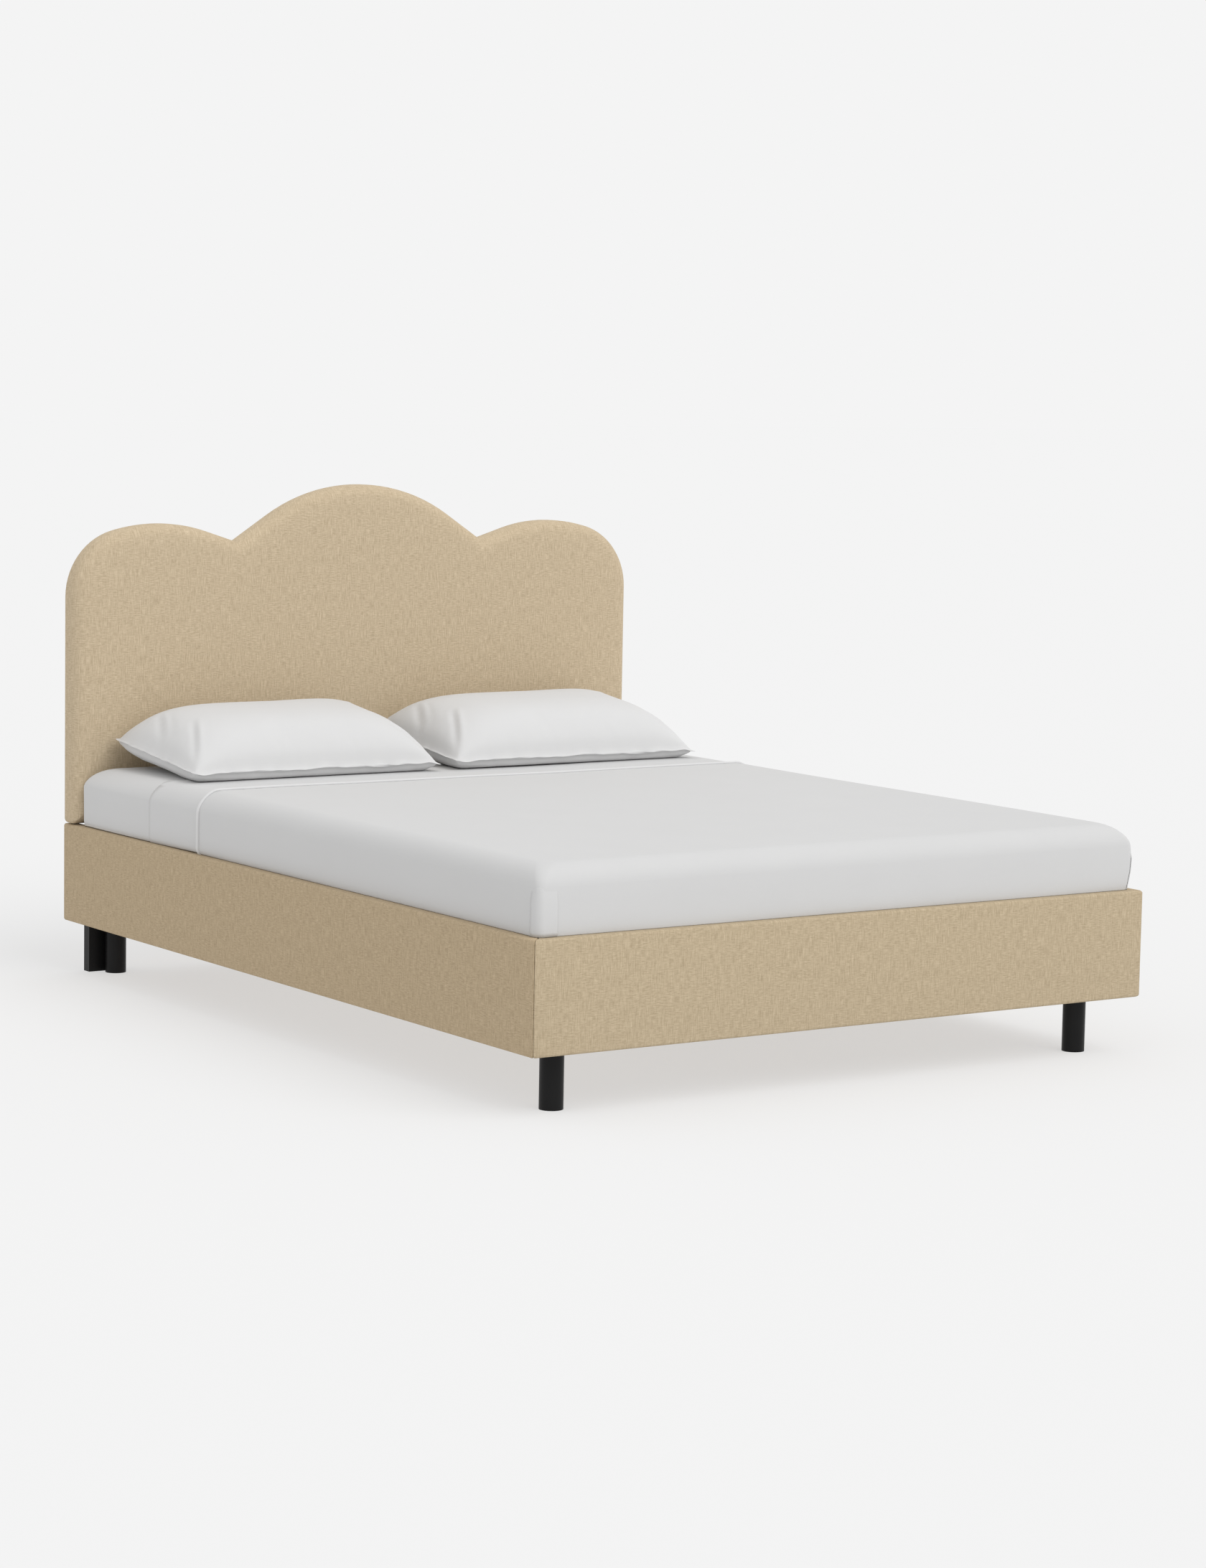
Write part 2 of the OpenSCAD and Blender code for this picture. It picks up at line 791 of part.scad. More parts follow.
// ---- bedding ----

// The mattress's form, grown outwards by g on every side
module mattress_form(g) {
    low = mattress_low - g;
    top = mattress_top + g;
    neck = bulge_low - g;
    foot = mattress_foot_y - g;
    head = mattress_head_y + min(g, mattress_gap - lift_gap);
    half = mattress_w / 2 + g;
    edge = mattress_edge_r + g;
    wide = half + bulge_x;
    side = concat(
        [[half - mattress_bevel, low], [half, low + mattress_bevel], [half, neck],
            [wide - bulge_lip, neck], [wide, neck + bulge_rise]],
        arc(wide - edge, top - edge, edge, 0, 90, 7)
    );
    end = concat(
        [[head - mattress_bevel, low], [head, low + mattress_bevel]],
        arc(head - edge, top - edge, edge, 0, 90, 7),
        arc(foot - bulge_y + edge, top - edge, edge, 90, 180, 7),
        [[foot - bulge_y, neck + bulge_rise], [foot - bulge_y + bulge_lip, neck], [foot, neck],
            [foot, low + mattress_bevel], [foot + mattress_bevel, low]]
    );
    intersection() {
        along_y(foot - bulge_y - CUT, head + CUT)
            polygon(concat(side, [for (i = [len(side) - 1:-1:0]) [-side[i][0], side[i][1]]]));
        along_x(-wide - CUT, wide + CUT) polygon(end);
        translate([0, 0, low - CUT])
            linear_extrude(top - low + 2 * CUT)
                polygon(round_rect(-wide, foot - bulge_y, wide, head, mattress_corner_r, 8));
    }
}

module mattress() {
    color("whitesmoke") mattress_form(0);
}

// One layer of bedding, from the foot to y_end, open underneath
module bedding_layer(g_in, t, y_end) {
    difference() {
        mattress_form(g_in + t);
        mattress_form(g_in);
        block([-bed_w, y_end, 0], [bed_w, bed_l, head_top]);
        block([tuck_w - mattress_w / 2, mattress_foot_y + tuck_w, 0],
            [mattress_w / 2 - tuck_w, mattress_head_y - tuck_w, mattress_low + CUT]);
    }
}

module fitted_sheet() {
    color("#e2e2e2") bedding_layer(0, sheet_t, bed_l - CUT);
}

module top_sheet() {
    color("#e8e8e8") bedding_layer(sheet_t, sheet_t, head_front_y - top_sheet_back);
}

module coverlet() {
    color("#dcdcdc") bedding_layer(2 * sheet_t, coverlet_t, head_front_y - coverlet_back);
}

// A crowned outline with pointed ends, w long and h high
function pillow_profile(w, h, n = 16) = concat(
    [for (i = [0:n]) let (a = 180 * i / n)
        [-w / 2 * cos(a), h * (1 - pillow_low_share) * pow(sin(a), CROWN_POWER)]],
    [for (i = [1:n - 1]) let (a = 180 * i / n)
        [w / 2 * cos(a), -h * pillow_low_share * pow(sin(a), BELLY_POWER)]]
);

// A pillow's form, grown by g, flat side down and its back edge raised
module pillow_form(side, g) {
    x_mid = (pillow_gap + pillow_w) / 2;
    y_mid = head_front_y - pillow_back_gap - pillow_d / 2;
    tilt = asin(pillow_rise / pillow_d);
    seat = bedding_top + lift_gap + fabric_t;
    lift = pillow_h * pillow_low_share + pillow_rise * pillow_rise_share;
    translate([pillow_shift, 0, 0]) on_side(side)
        intersection() {
            translate([x_mid, y_mid, seat + lift])
                rotate([tilt, 0, 0])
                    intersection() {
                        along_y(-pillow_d / 2 - g, pillow_d / 2 + g)
                            polygon(pillow_profile(pillow_w + 2 * g, pillow_h + 2 * g));
                        along_x(-pillow_w / 2 - g, pillow_w / 2 + g)
                            polygon(pillow_profile(pillow_d + 2 * g, pillow_h + 2 * g));
                    }
            block([0, 0, seat - g], [bed_w, bed_l, seat + 2 * pillow_h]);
        }
}

module pillow(side) {
    color("white") pillow_form(side, 0);
}

module pillowcase(side) {
    color("#ececec")
        difference() {
            pillow_form(side, sheet_t);
            pillow_form(side, 0);
        }
}

// ---- every sub-part ----

headboard_panel();
headboard_post("left");  // headboard_post_left
headboard_post("right");  // headboard_post_right
headboard_edge_frame();
headboard_batten(head_bottom + frame_inset);  // headboard_batten_low
headboard_batten(post_top - batten_h);  // headboard_batten_high
headboard_foam();
headboard_cover();
headboard_back_cover();
foot_rail_board();
foot_rail_foam();
foot_rail_cover();
head_rail();
for (side = SIDES) {
    side_rail_board(side);
    side_rail_foam(side);
    side_rail_cover(side);
    cleat(side);
    pillow(side);
    pillowcase(side);
    for (e = [0:1])
        corner_leg(side, leg_ys[e]);
}
corner_blocks();
corner_brackets();
frame_bolts();
leg_bolts();
wood_screws();
middle_beam();
beam_hanger(foot_in_y, 1);  // beam_hanger_foot
beam_hanger(head_rail_y, -1);  // beam_hanger_head
for (i = [1:slat_count])
    slat(i);
for (i = [1:len(mid_leg_ys)]) {
    middle_leg(i);
    glide(i);
}
mattress();
fitted_sheet();
top_sheet();
coverlet();
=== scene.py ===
import math

import bmesh
import bpy
from mathutils import Matrix, Vector, noise


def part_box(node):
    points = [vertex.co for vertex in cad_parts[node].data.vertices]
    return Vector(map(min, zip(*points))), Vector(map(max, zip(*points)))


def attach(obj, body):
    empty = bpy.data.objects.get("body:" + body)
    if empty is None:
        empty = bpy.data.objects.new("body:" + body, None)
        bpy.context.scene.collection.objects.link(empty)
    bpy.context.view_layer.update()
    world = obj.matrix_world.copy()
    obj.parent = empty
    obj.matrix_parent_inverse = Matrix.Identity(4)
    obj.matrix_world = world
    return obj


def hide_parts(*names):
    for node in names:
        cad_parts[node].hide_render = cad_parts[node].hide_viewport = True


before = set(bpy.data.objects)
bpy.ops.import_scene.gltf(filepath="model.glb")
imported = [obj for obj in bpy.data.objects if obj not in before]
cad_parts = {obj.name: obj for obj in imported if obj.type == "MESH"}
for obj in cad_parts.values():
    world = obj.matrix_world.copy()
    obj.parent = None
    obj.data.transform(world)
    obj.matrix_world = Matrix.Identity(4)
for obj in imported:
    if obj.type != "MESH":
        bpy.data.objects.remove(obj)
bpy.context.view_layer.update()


# ---- Camera ----
# A long lens a little above the headboard, looking across the bed's left foot corner.
# It leans by about a degree, so it is set by its own three axes.
camera_data = bpy.data.cameras.new("camera")
camera_data.lens = 87.28
camera_data.sensor_width = 36
camera = bpy.data.objects.new("camera", camera_data)
bpy.context.scene.collection.objects.link(camera)
bpy.context.scene.camera = camera
camera_turn = math.radians(-33.9618)
camera_rise = math.radians(6.3247)
camera_lean = math.radians(1.045)
camera_place = Matrix.Translation((-4.9034, -7.3822, 1.5202))
camera_back = Vector((
    math.sin(camera_turn) * math.cos(camera_rise),
    -math.cos(camera_turn) * math.cos(camera_rise),
    math.sin(camera_rise),
))
level_side = Vector((0, 0, 1)).cross(camera_back).normalized()
level_up = camera_back.cross(level_side)
camera_side = level_side * math.cos(camera_lean) + level_up * math.sin(camera_lean)
camera_up = level_up * math.cos(camera_lean) - level_side * math.sin(camera_lean)
camera_axes = Matrix((camera_side, camera_up, camera_back)).transposed().to_4x4()
camera.matrix_world = camera_place @ camera_axes


# ---- Studio ----
# A pale floor without an edge in sight, an even white surround, and one very soft lamp
# in front of the foot end, high and a little to the right.
def link_or_set(tree, socket, value):
    if isinstance(value, bpy.types.NodeSocket):
        tree.links.new(value, socket)
    else:
        socket.default_value = value


def add_node(tree, kind, sockets, **settings):
    made = tree.nodes.new("ShaderNode" + kind)
    for name, value in settings.items():
        setattr(made, name, value)
    for name, value in sockets.items():
        link_or_set(tree, made.inputs[name], value)
    return made


def blend(tree, share, first, second):
    """A colour that goes from first to second as the share goes from 0 to 1."""
    mixing = {"Factor": share, 6: (*first, 1), 7: (*second, 1)}
    return add_node(tree, "Mix", mixing, data_type="RGBA").outputs[2]


def new_material(name):
    material = bpy.data.materials.new(name)
    material.use_nodes = True
    material.node_tree.nodes.clear()
    return material, material.node_tree


def close_material(tree, **sockets):
    """Ends a material in one shader; an underscore in a socket's name here stands for a space."""
    spaced = {name.replace("_", " "): value for name, value in sockets.items()}
    shader = add_node(tree, "BsdfPrincipled", spaced)
    tree.links.new(shader.outputs[0], add_node(tree, "OutputMaterial", {}).inputs[0])
    return shader


def new_piece(name, bm, material):
    """Turns a finished mesh into a smooth-shaded piece in the scene."""
    mesh = bpy.data.meshes.new(name)
    bm.to_mesh(mesh)
    bm.free()
    mesh.materials.append(material)
    for face in mesh.polygons:
        face.use_smooth = True
    piece = bpy.data.objects.new(name, mesh)
    bpy.context.scene.collection.objects.link(piece)
    return piece


surround = bpy.data.worlds.new("surround")
surround.use_nodes = True
surround.node_tree.nodes["Background"].inputs["Color"].default_value = (0.905, 0.905, 0.905, 1)
bpy.context.scene.world = surround
bpy.context.scene.view_settings.view_transform = "Standard"

floor_paint, tree = new_material("floor_paint")
mottle = add_node(tree, "TexNoise", {"Scale": 0.8, "Detail": 2.0}).outputs[0]
floor_tone = blend(tree, mottle, (0.292, 0.292, 0.292), (0.302, 0.302, 0.302))
shader = close_material(tree, Base_Color=floor_tone, Roughness=1.0)
shader.inputs["Specular IOR Level"].default_value = 0.0
shader.inputs["Emission Color"].default_value = (1, 1, 1, 1)
shader.inputs["Emission Strength"].default_value = 0.548
bm = bmesh.new()
bmesh.ops.create_grid(bm, x_segments=8, y_segments=8, size=70)
floor = new_piece("floor", bm, floor_paint)

lamp_side = Vector((0.10, -0.24, 0.29))
lamp_data = bpy.data.lights.new("soft_lamp", "SUN")
lamp_data.energy = 1.22
lamp_data.angle = math.radians(50)
lamp = bpy.data.objects.new("soft_lamp", lamp_data)
bpy.context.scene.collection.objects.link(lamp)
lamp.rotation_euler = lamp_side.to_track_quat("Z", "Y").to_euler()


# ---- Headboard cover ----
# Linen-look fabric pulled over foam in three arches, rolled round the front edge, and
# stapled behind. It and the foam are one padded piece, hollow behind for the timber.
def new_group(name, *results):
    """A node group that takes a place on the piece and gives the values that results names."""
    group = bpy.data.node_groups.new(name, "ShaderNodeTree")
    group.interface.new_socket("Place", in_out="INPUT", socket_type="NodeSocketVector")
    for label in results:
        group.interface.new_socket(label, in_out="OUTPUT", socket_type="NodeSocketFloat")
    return group, group.nodes.new("NodeGroupInput"), group.nodes.new("NodeGroupOutput")


def calc(tree, operation, first, second=0.0):
    return add_node(tree, "Math", {0: first, 1: second}, operation=operation).outputs[0]


def stretched_noise(tree, place, scale, detail):
    """Noise that turns over scale times in a metre, along each of the three ways."""
    mapped = add_node(tree, "Mapping", {"Vector": place, "Scale": scale}).outputs[0]
    return add_node(tree, "TexNoise", {"Vector": mapped, "Scale": 1.0, "Detail": detail}).outputs[0]


def weighted_sum(tree, parts):
    """Adds patterns up by their weights, each counted from its own middle value."""
    total = 0.0
    for value, weight in parts:
        centred = calc(tree, "SUBTRACT", value, 0.5)
        total = calc(tree, "ADD", total, calc(tree, "MULTIPLY", centred, weight))
    return total


def ranged(tree, value, old_ends, new_ends):
    """Carries a value from one range over to another, held at both ends."""
    ends = {"From Min": old_ends[0], "From Max": old_ends[1], "To Min": new_ends[0], "To Max": new_ends[1]}
    return add_node(tree, "MapRange", {"Value": value, **ends}).outputs[0]


def bump(tree, height, strength, depth):
    return add_node(tree, "Bump", {"Height": height, "Strength": strength, "Distance": depth}).outputs[0]


def weave_group(name, pitch):
    """A plain weave's relief, with the warp and the weft the same pitch apart."""
    group, given, result = new_group(name, "Height")
    along = add_node(group, "SeparateXYZ", {0: given.outputs[0]})
    turns = 2 * math.pi / pitch
    warp = calc(group, "SINE", calc(group, "MULTIPLY", along.outputs[0], turns))
    weft = calc(group, "SINE", calc(group, "MULTIPLY", along.outputs[1], turns))
    group.links.new(calc(group, "MULTIPLY", warp, weft), result.inputs[0])
    return group


linen_threads, given, result = new_group("linen_threads", "Tone", "Height")
upright_threads = stretched_noise(linen_threads, given.outputs[0], (400, 42, 1), 1.0)
upright_slubs = stretched_noise(linen_threads, given.outputs[0], (330, 18, 1), 1.0)
level_threads = stretched_noise(linen_threads, given.outputs[0], (70, 400, 1), 1.0)
dark_flecks = stretched_noise(linen_threads, given.outputs[0], (240, 460, 1), 0.0)
broad_change = stretched_noise(linen_threads, given.outputs[0], (26, 15, 1), 1.0)
fleck_mask = ranged(linen_threads, dark_flecks, (0.68, 0.78), (0, 1))
upright_share = ranged(linen_threads, broad_change, (0.38, 0.62), (0.60, 1.30))
# Where the upright threads show more, the level ones show less.
BOTH_SHARES = 1.9
level_share = calc(linen_threads, "SUBTRACT", BOTH_SHARES, upright_share)
upright_sum = weighted_sum(linen_threads, [(upright_threads, 1.2), (upright_slubs, 0.42)])
level_sum = weighted_sum(linen_threads, [(level_threads, 1.3)])
upright_part = calc(linen_threads, "MULTIPLY", upright_share, upright_sum)
level_part = calc(linen_threads, "MULTIPLY", level_share, level_sum)
thread_sum = calc(linen_threads, "ADD", upright_part, level_part)
fleck_tone = calc(linen_threads, "MULTIPLY", fleck_mask, 0.45)
thread_tone = calc(linen_threads, "SUBTRACT", thread_sum, fleck_tone)
linen_threads.links.new(calc(linen_threads, "ADD", thread_tone, 0.5), result.inputs[0])
THREAD_PITCH = 0.0019
weave = weave_group("linen_weave", THREAD_PITCH)
linen_weave = add_node(linen_threads, "Group", {0: given.outputs[0]}, node_tree=weave)
weave_height = calc(linen_threads, "MULTIPLY", linen_weave.outputs[0], 0.16)
linen_threads.links.new(calc(linen_threads, "ADD", thread_sum, weave_height), result.inputs[1])

LINEN_DARK = (0.382, 0.303, 0.202)
LINEN_LIGHT = (0.552, 0.452, 0.318)
# The headboard's copy of the cloth is made lighter as painted light, for the extra light it gets higher up.
HEADBOARD_PAINTED_LIGHT = (1.11, 1.11, 1.11)


def linen_material(name, painted_light):
    """The same cloth for every cover, its colour scaled by the last argument as painted light and shade."""
    material, tree = new_material(name)
    cloth_place = add_node(tree, "UVMap", {}, uv_map="cloth").outputs[0]
    threads = add_node(tree, "Group", {0: cloth_place}, node_tree=linen_threads)
    dark = [part * share for part, share in zip(LINEN_DARK, painted_light)]
    light = [part * share for part, share in zip(LINEN_LIGHT, painted_light)]
    tone = blend(tree, threads.outputs[0], dark, light)
    relief = bump(tree, threads.outputs[1], 0.5, 0.0006)
    shader = close_material(tree, Base_Color=tone, Roughness=0.95, Normal=relief)
    shader.inputs["Specular IOR Level"].default_value = 0.1
    shader.inputs["Sheen Weight"].default_value = 0.03
    shader.inputs["Sheen Roughness"].default_value = 0.6
    return material


headboard_linen_painted_light = linen_material("headboard_linen_painted_light", HEADBOARD_PAINTED_LIGHT)
HEAD_LOW, HEAD_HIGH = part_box("headboard_cover")
HEAD_FRONT = HEAD_LOW.y
HEAD_BOTTOM = HEAD_LOW.z
HEAD_HALF = HEAD_HIGH.x
MIDDLE_TOP = HEAD_HIGH.z
SIDE_TOP = 1.105
SHOULDER_R = 0.167
SIDE_ARCH_R = 0.460
INNER_ARCH_R = 0.420
MIDDLE_ARCH_R = 0.475
FOOT_CORNER_R = 0.012
SHOULDER_END = math.radians(74.5)
INNER_END = math.radians(107.5)
MIDDLE_START = math.radians(57)
ARC_GAP = 0.03
MIDDLE_GAP = 0.02
SHOULDER_X = HEAD_HALF - SHOULDER_R
SIDE_PEAK_X = SHOULDER_X - (SIDE_ARCH_R - SHOULDER_R) * math.cos(SHOULDER_END)
SHOULDER_Z = SIDE_TOP - SIDE_ARCH_R + (SIDE_ARCH_R - SHOULDER_R) * math.sin(SHOULDER_END)


def spun_arc(bm, side, centre_x, centre_z, radius, start, end, steps, y):
    """An arc of edges in an upright plane, spun from its first point; returns both end points."""
    centre = (side * centre_x, y, centre_z)
    begin = (side * (centre_x + radius * math.cos(start)), y, centre_z + radius * math.sin(start))
    first = bm.verts.new(begin)
    spun = bmesh.ops.spin(bm, geom=[first], cent=centre, axis=(0, -side, 0), angle=end - start, steps=steps)
    return first, spun["geom_last"][0]


def arch_half(bm, side, inset, y):
    """One half of the outline as chains of edges, from the bottom corner up to the middle arch."""
    up = math.pi / 2
    corner_r = max(FOOT_CORNER_R - inset, 0.0006)
    corner_x = HEAD_HALF - inset - corner_r
    corner_z = HEAD_BOTTOM + inset + corner_r
    outer_r = SIDE_ARCH_R - inset
    inner_r = INNER_ARCH_R - inset
    middle_r = MIDDLE_ARCH_R - inset
    outer_base = SIDE_TOP - SIDE_ARCH_R
    inner_base = SIDE_TOP - INNER_ARCH_R
    middle_base = MIDDLE_TOP - MIDDLE_ARCH_R
    inner_x = SIDE_PEAK_X + inner_r * math.cos(INNER_END)
    inner_z = inner_base + inner_r * math.sin(INNER_END)
    middle_x = middle_r * math.cos(MIDDLE_START)
    middle_z = middle_base + middle_r * math.sin(MIDDLE_START)
    fall = math.tan(INNER_END - up)
    rise = math.tan(up - MIDDLE_START)
    valley_x = (middle_z - inner_z + middle_x * rise + inner_x * fall) / (rise + fall)
    valley_z = middle_z - (valley_x - middle_x) * rise
    chains = [
        spun_arc(bm, side, corner_x, corner_z, corner_r, -up, 0, 4, y),
        spun_arc(bm, side, SHOULDER_X, SHOULDER_Z, SHOULDER_R - inset, 0, SHOULDER_END, 14, y),
        spun_arc(bm, side, SIDE_PEAK_X, outer_base, outer_r, SHOULDER_END + ARC_GAP, up, 6, y),
        spun_arc(bm, side, SIDE_PEAK_X, inner_base, inner_r, up + ARC_GAP, INNER_END, 6, y),
    ]
    valley = bm.verts.new((side * valley_x, y, valley_z))
    chains.append((valley, valley))
    chains.append(spun_arc(bm, side, 0, middle_base, middle_r, MIDDLE_START, up - MIDDLE_GAP, 10, y))
    return chains


def arch_ring(bm, inset, depth):
    """The whole outline, set in from the edge and set back from the front; returns its edges."""
    before = set(bm.edges)
    y = HEAD_FRONT + depth
    halves = [arch_half(bm, side, inset, y) for side in (1, -1)]
    for chains in halves:
        for lower, upper in zip(chains, chains[1:]):
            bm.edges.new((lower[1], upper[0]))
    bm.edges.new((halves[0][-1][1], halves[1][-1][1]))
    bm.edges.new((halves[0][0][0], halves[1][0][0]))
    return [edge for edge in bm.edges if edge not in before]


EDGE_ROLL = 0.034
WRAP_START = 0.012
# Each pair is how far a ring of the cover is set in from the outline, and set back from the
# front: the nearly flat face, the rolled edge, the back edge, and the wall of the hollow.
HEAD_PROFILE = [(0.160, 0.0), (0.110, 0.0003), (0.075, 0.0009), (0.052, 0.0020)]
for step in range(1, 9):
    angle = step / 8 * math.pi / 2
    HEAD_PROFILE.append((EDGE_ROLL * (1 - math.sin(angle)), 0.0028 + EDGE_ROLL * (1 - math.cos(angle))))
HEAD_PROFILE += [(0.0, 0.045), (0.0, 0.054), (0.0006, 0.0588), (0.0013, 0.0596), (0.0016, 0.0583)]
HEAD_PROFILE += [(0.0095, 0.0583), (0.0095, 0.0217)]
bm = bmesh.new()
rings = [arch_ring(bm, inset, depth) for inset, depth in HEAD_PROFILE]
for outer, inner in zip(rings, rings[1:]):
    bmesh.ops.bridge_loops(bm, edges=outer + inner)
bmesh.ops.contextual_create(bm, geom=rings[0])
bmesh.ops.contextual_create(bm, geom=rings[-1])
bmesh.ops.recalc_face_normals(bm, faces=bm.faces)
cloth_uv = bm.loops.layers.uv.new("cloth")
for face in bm.faces:
    for loop in face.loops:
        outward = Vector((loop.vert.normal.x, loop.vert.normal.z))
        depth = loop.vert.co.y - HEAD_FRONT
        flat_place = Vector((loop.vert.co.x, loop.vert.co.z))
        if outward.length > 0.05:
            flat_place += outward.normalized() * max(0.0, depth - WRAP_START)
        loop[cloth_uv].uv = flat_place
headboard = new_piece("headboard_padding", bm, headboard_linen_painted_light)
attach(headboard, "bed")
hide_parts("headboard_cover", "headboard_foam")


# ---- Rail covers ----
# The same fabric over thin foam on three timber rails. Each is wrapped like a parcel and
# meets its neighbour in a mitred, slightly rounded seam at the foot corners.
RAIL_LOW, RAIL_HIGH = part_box("foot_rail_cover")
RAIL_T = RAIL_HIGH.y - RAIL_LOW.y
RAIL_EDGE_R = 0.006
SIDE_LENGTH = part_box("side_rail_cover_left")[1].y - RAIL_LOW.y
SEAM_ROUND = [(0.0040, 0.0002), (0.0016, 0.0007), (0.0005, 0.0020), (0.0, 0.0045)]
SEAM_CLEAR = 0.05
RAIL_STEPS = 24
FOAM_RIPPLE = 0.0007
FURTHER_ALONG_BOLT = 3.1


def rail_ring(bm, inset, run, mitre):
    """A rail's section: X is the depth in from the outer face, Y the way along the rail."""
    before = set(bm.edges)
    radius = RAIL_EDGE_R - inset * 0.5
    corners = [
        (RAIL_T - inset - radius, RAIL_HIGH.z - inset - radius, 0),
        (inset + radius, RAIL_HIGH.z - inset - radius, 1),
        (inset + radius, RAIL_LOW.z + inset + radius, 2),
        (RAIL_T - inset - radius, RAIL_LOW.z + inset + radius, 3),
    ]
    ends = []
    for x, z, quarter in corners:
        start = quarter * math.pi / 2
        ends.append(spun_arc(bm, 1, x, z, radius, start, start + math.pi / 2, 5, 0))
    for this, following in zip(ends, ends[1:] + ends[:1]):
        bm.edges.new((this[1], following[0]))
    edges = [edge for edge in bm.edges if edge not in before]
    for vert in {vert for edge in edges for vert in edge.verts}:
        vert.co.y = run + mitre * vert.co.x
    return edges


def rail_cover(name, length, end_mitred, placing, cloth, nodes):
    """A padded rail, bridged from its mitred foot corner along to its other end."""
    bm = bmesh.new()
    stations = [(inset, away, 1) for inset, away in SEAM_ROUND]
    for step in range(1, RAIL_STEPS):
        stations.append((0.0, SEAM_CLEAR + (length - 2 * SEAM_CLEAR) * step / RAIL_STEPS, 0))
    end_mitre = -1 if end_mitred else 0
    stations += [(inset, length - away, end_mitre) for inset, away in reversed(SEAM_ROUND)]
    rings = [rail_ring(bm, *station) for station in stations]
    for near, far in zip(rings, rings[1:]):
        bmesh.ops.bridge_loops(bm, edges=near + far)
    bmesh.ops.contextual_create(bm, geom=rings[0])
    bmesh.ops.contextual_create(bm, geom=rings[-1])
    middle_z = (RAIL_LOW.z + RAIL_HIGH.z) / 2
    cloth_uv = bm.loops.layers.uv.new("cloth")
    for face in bm.faces:
        upper = face.calc_center_median().z > middle_z
        for loop in face.loops:
            depth, run, height = loop.vert.co
            loop[cloth_uv].uv = (run + FURTHER_ALONG_BOLT, height + (depth if upper else -depth))
    for vert in bm.verts:
        if vert.co.x < 0.002:
            vert.co.x += FOAM_RIPPLE * noise.noise((vert.co.y * 6, vert.co.z * 9, 2.0))
    bmesh.ops.transform(bm, matrix=placing, verts=bm.verts)
    bmesh.ops.recalc_face_normals(bm, faces=bm.faces)
    piece = new_piece(name, bm, cloth)
    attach(piece, "bed")
    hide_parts(*nodes)


corner_place = Matrix.Translation((RAIL_LOW.x, RAIL_LOW.y, 0))
swapped_axes = Matrix(((0, 1, 0, 0), (1, 0, 0, 0), (0, 0, 1, 0), (0, 0, 0, 1)))
mirrored = Matrix.Scale(-1, 4, (1, 0, 0))
# The rails' copies of the cloth are darkened as painted shade: the side rails darker and warmer, as their
# faces turn from the lamp, and the foot rail a little darker.
side_linen_painted_shade = linen_material("side_rail_linen_painted_shade", (0.95, 0.92, 0.87))
foot_linen_painted_shade = linen_material("foot_rail_linen_painted_shade", (0.98, 0.98, 0.96))
rail_cover("side_rail_padding_left", SIDE_LENGTH, False, corner_place, side_linen_painted_shade,
           ["side_rail_cover_left", "side_rail_foam_left"])
rail_cover("side_rail_padding_right", SIDE_LENGTH, False, mirrored @ corner_place, side_linen_painted_shade,
           ["side_rail_cover_right", "side_rail_foam_right"])
rail_cover("foot_rail_padding", RAIL_HIGH.x - RAIL_LOW.x, True, corner_place @ swapped_axes, foot_linen_painted_shade,
           ["foot_rail_cover", "foot_rail_foam"])


# ---- Dust cover ----
# Thin black non-woven cloth, finely dimpled, stapled over the headboard's back to hide its
# timber and the turned edges of the fabric.
def finish_nodes(material, *names):
    """Gives the named hard parts, which keep the frame's own shapes, their material."""
    for name in names:
        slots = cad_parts[name].data.materials
        slots.clear()
        slots.append(material)


dust_cloth, tree = new_material("dust_cloth")
place = add_node(tree, "TexCoord", {}).outputs["Object"]
dimples = add_node(tree, "TexVoronoi", {"Vector": place, "Scale": 420.0}).outputs[0]
fibre = stretched_noise(tree, place, (260, 260, 260), 3.0)
dust_tone = blend(tree, fibre, (0.012, 0.012, 0.013), (0.035, 0.035, 0.037))
close_material(tree, Base_Color=dust_tone, Roughness=0.95, Normal=bump(tree, dimples, 0.4, 0.0004))
finish_nodes(dust_cloth, "headboard_back_cover")


# ---- Timber and plywood ----
# Sawn and planed softwood for rails, blocks, cleats and beam, birch ply behind the foam,
# and paler planed slats. Nothing is lacquered, so the grain stays dry and matt.
wood_grain, given, result = new_group("wood_grain", "Tone", "Height")
streaks = stretched_noise(wood_grain, given.outputs[0], (3, 90, 90), 5.0)
bands = stretched_noise(wood_grain, given.outputs[0], (0.9, 16, 16), 2.0)
pores = stretched_noise(wood_grain, given.outputs[0], (28, 700, 700), 1.0)
grain_tone = weighted_sum(wood_grain, [(streaks, 1.3), (bands, 1.5), (pores, 0.5)])
wood_grain.links.new(calc(wood_grain, "ADD", grain_tone, 0.5), result.inputs[0])
wood_grain.links.new(weighted_sum(wood_grain, [(streaks, 0.8), (pores, 1.0)]), result.inputs[1])


def wood_material(name, pale, dark, turn, roughness):
    material, tree = new_material(name)
    place = add_node(tree, "TexCoord", {}).outputs["Object"]
    along = add_node(tree, "Mapping", {"Vector": place, "Rotation": turn}).outputs[0]
    grain = add_node(tree, "Group", {0: along}, node_tree=wood_grain)
    tone = blend(tree, grain.outputs[0], dark, pale)
    relief = bump(tree, grain.outputs[1], 0.35, 0.0005)
    close_material(tree, Base_Color=tone, Roughness=roughness, Normal=relief)
    return material


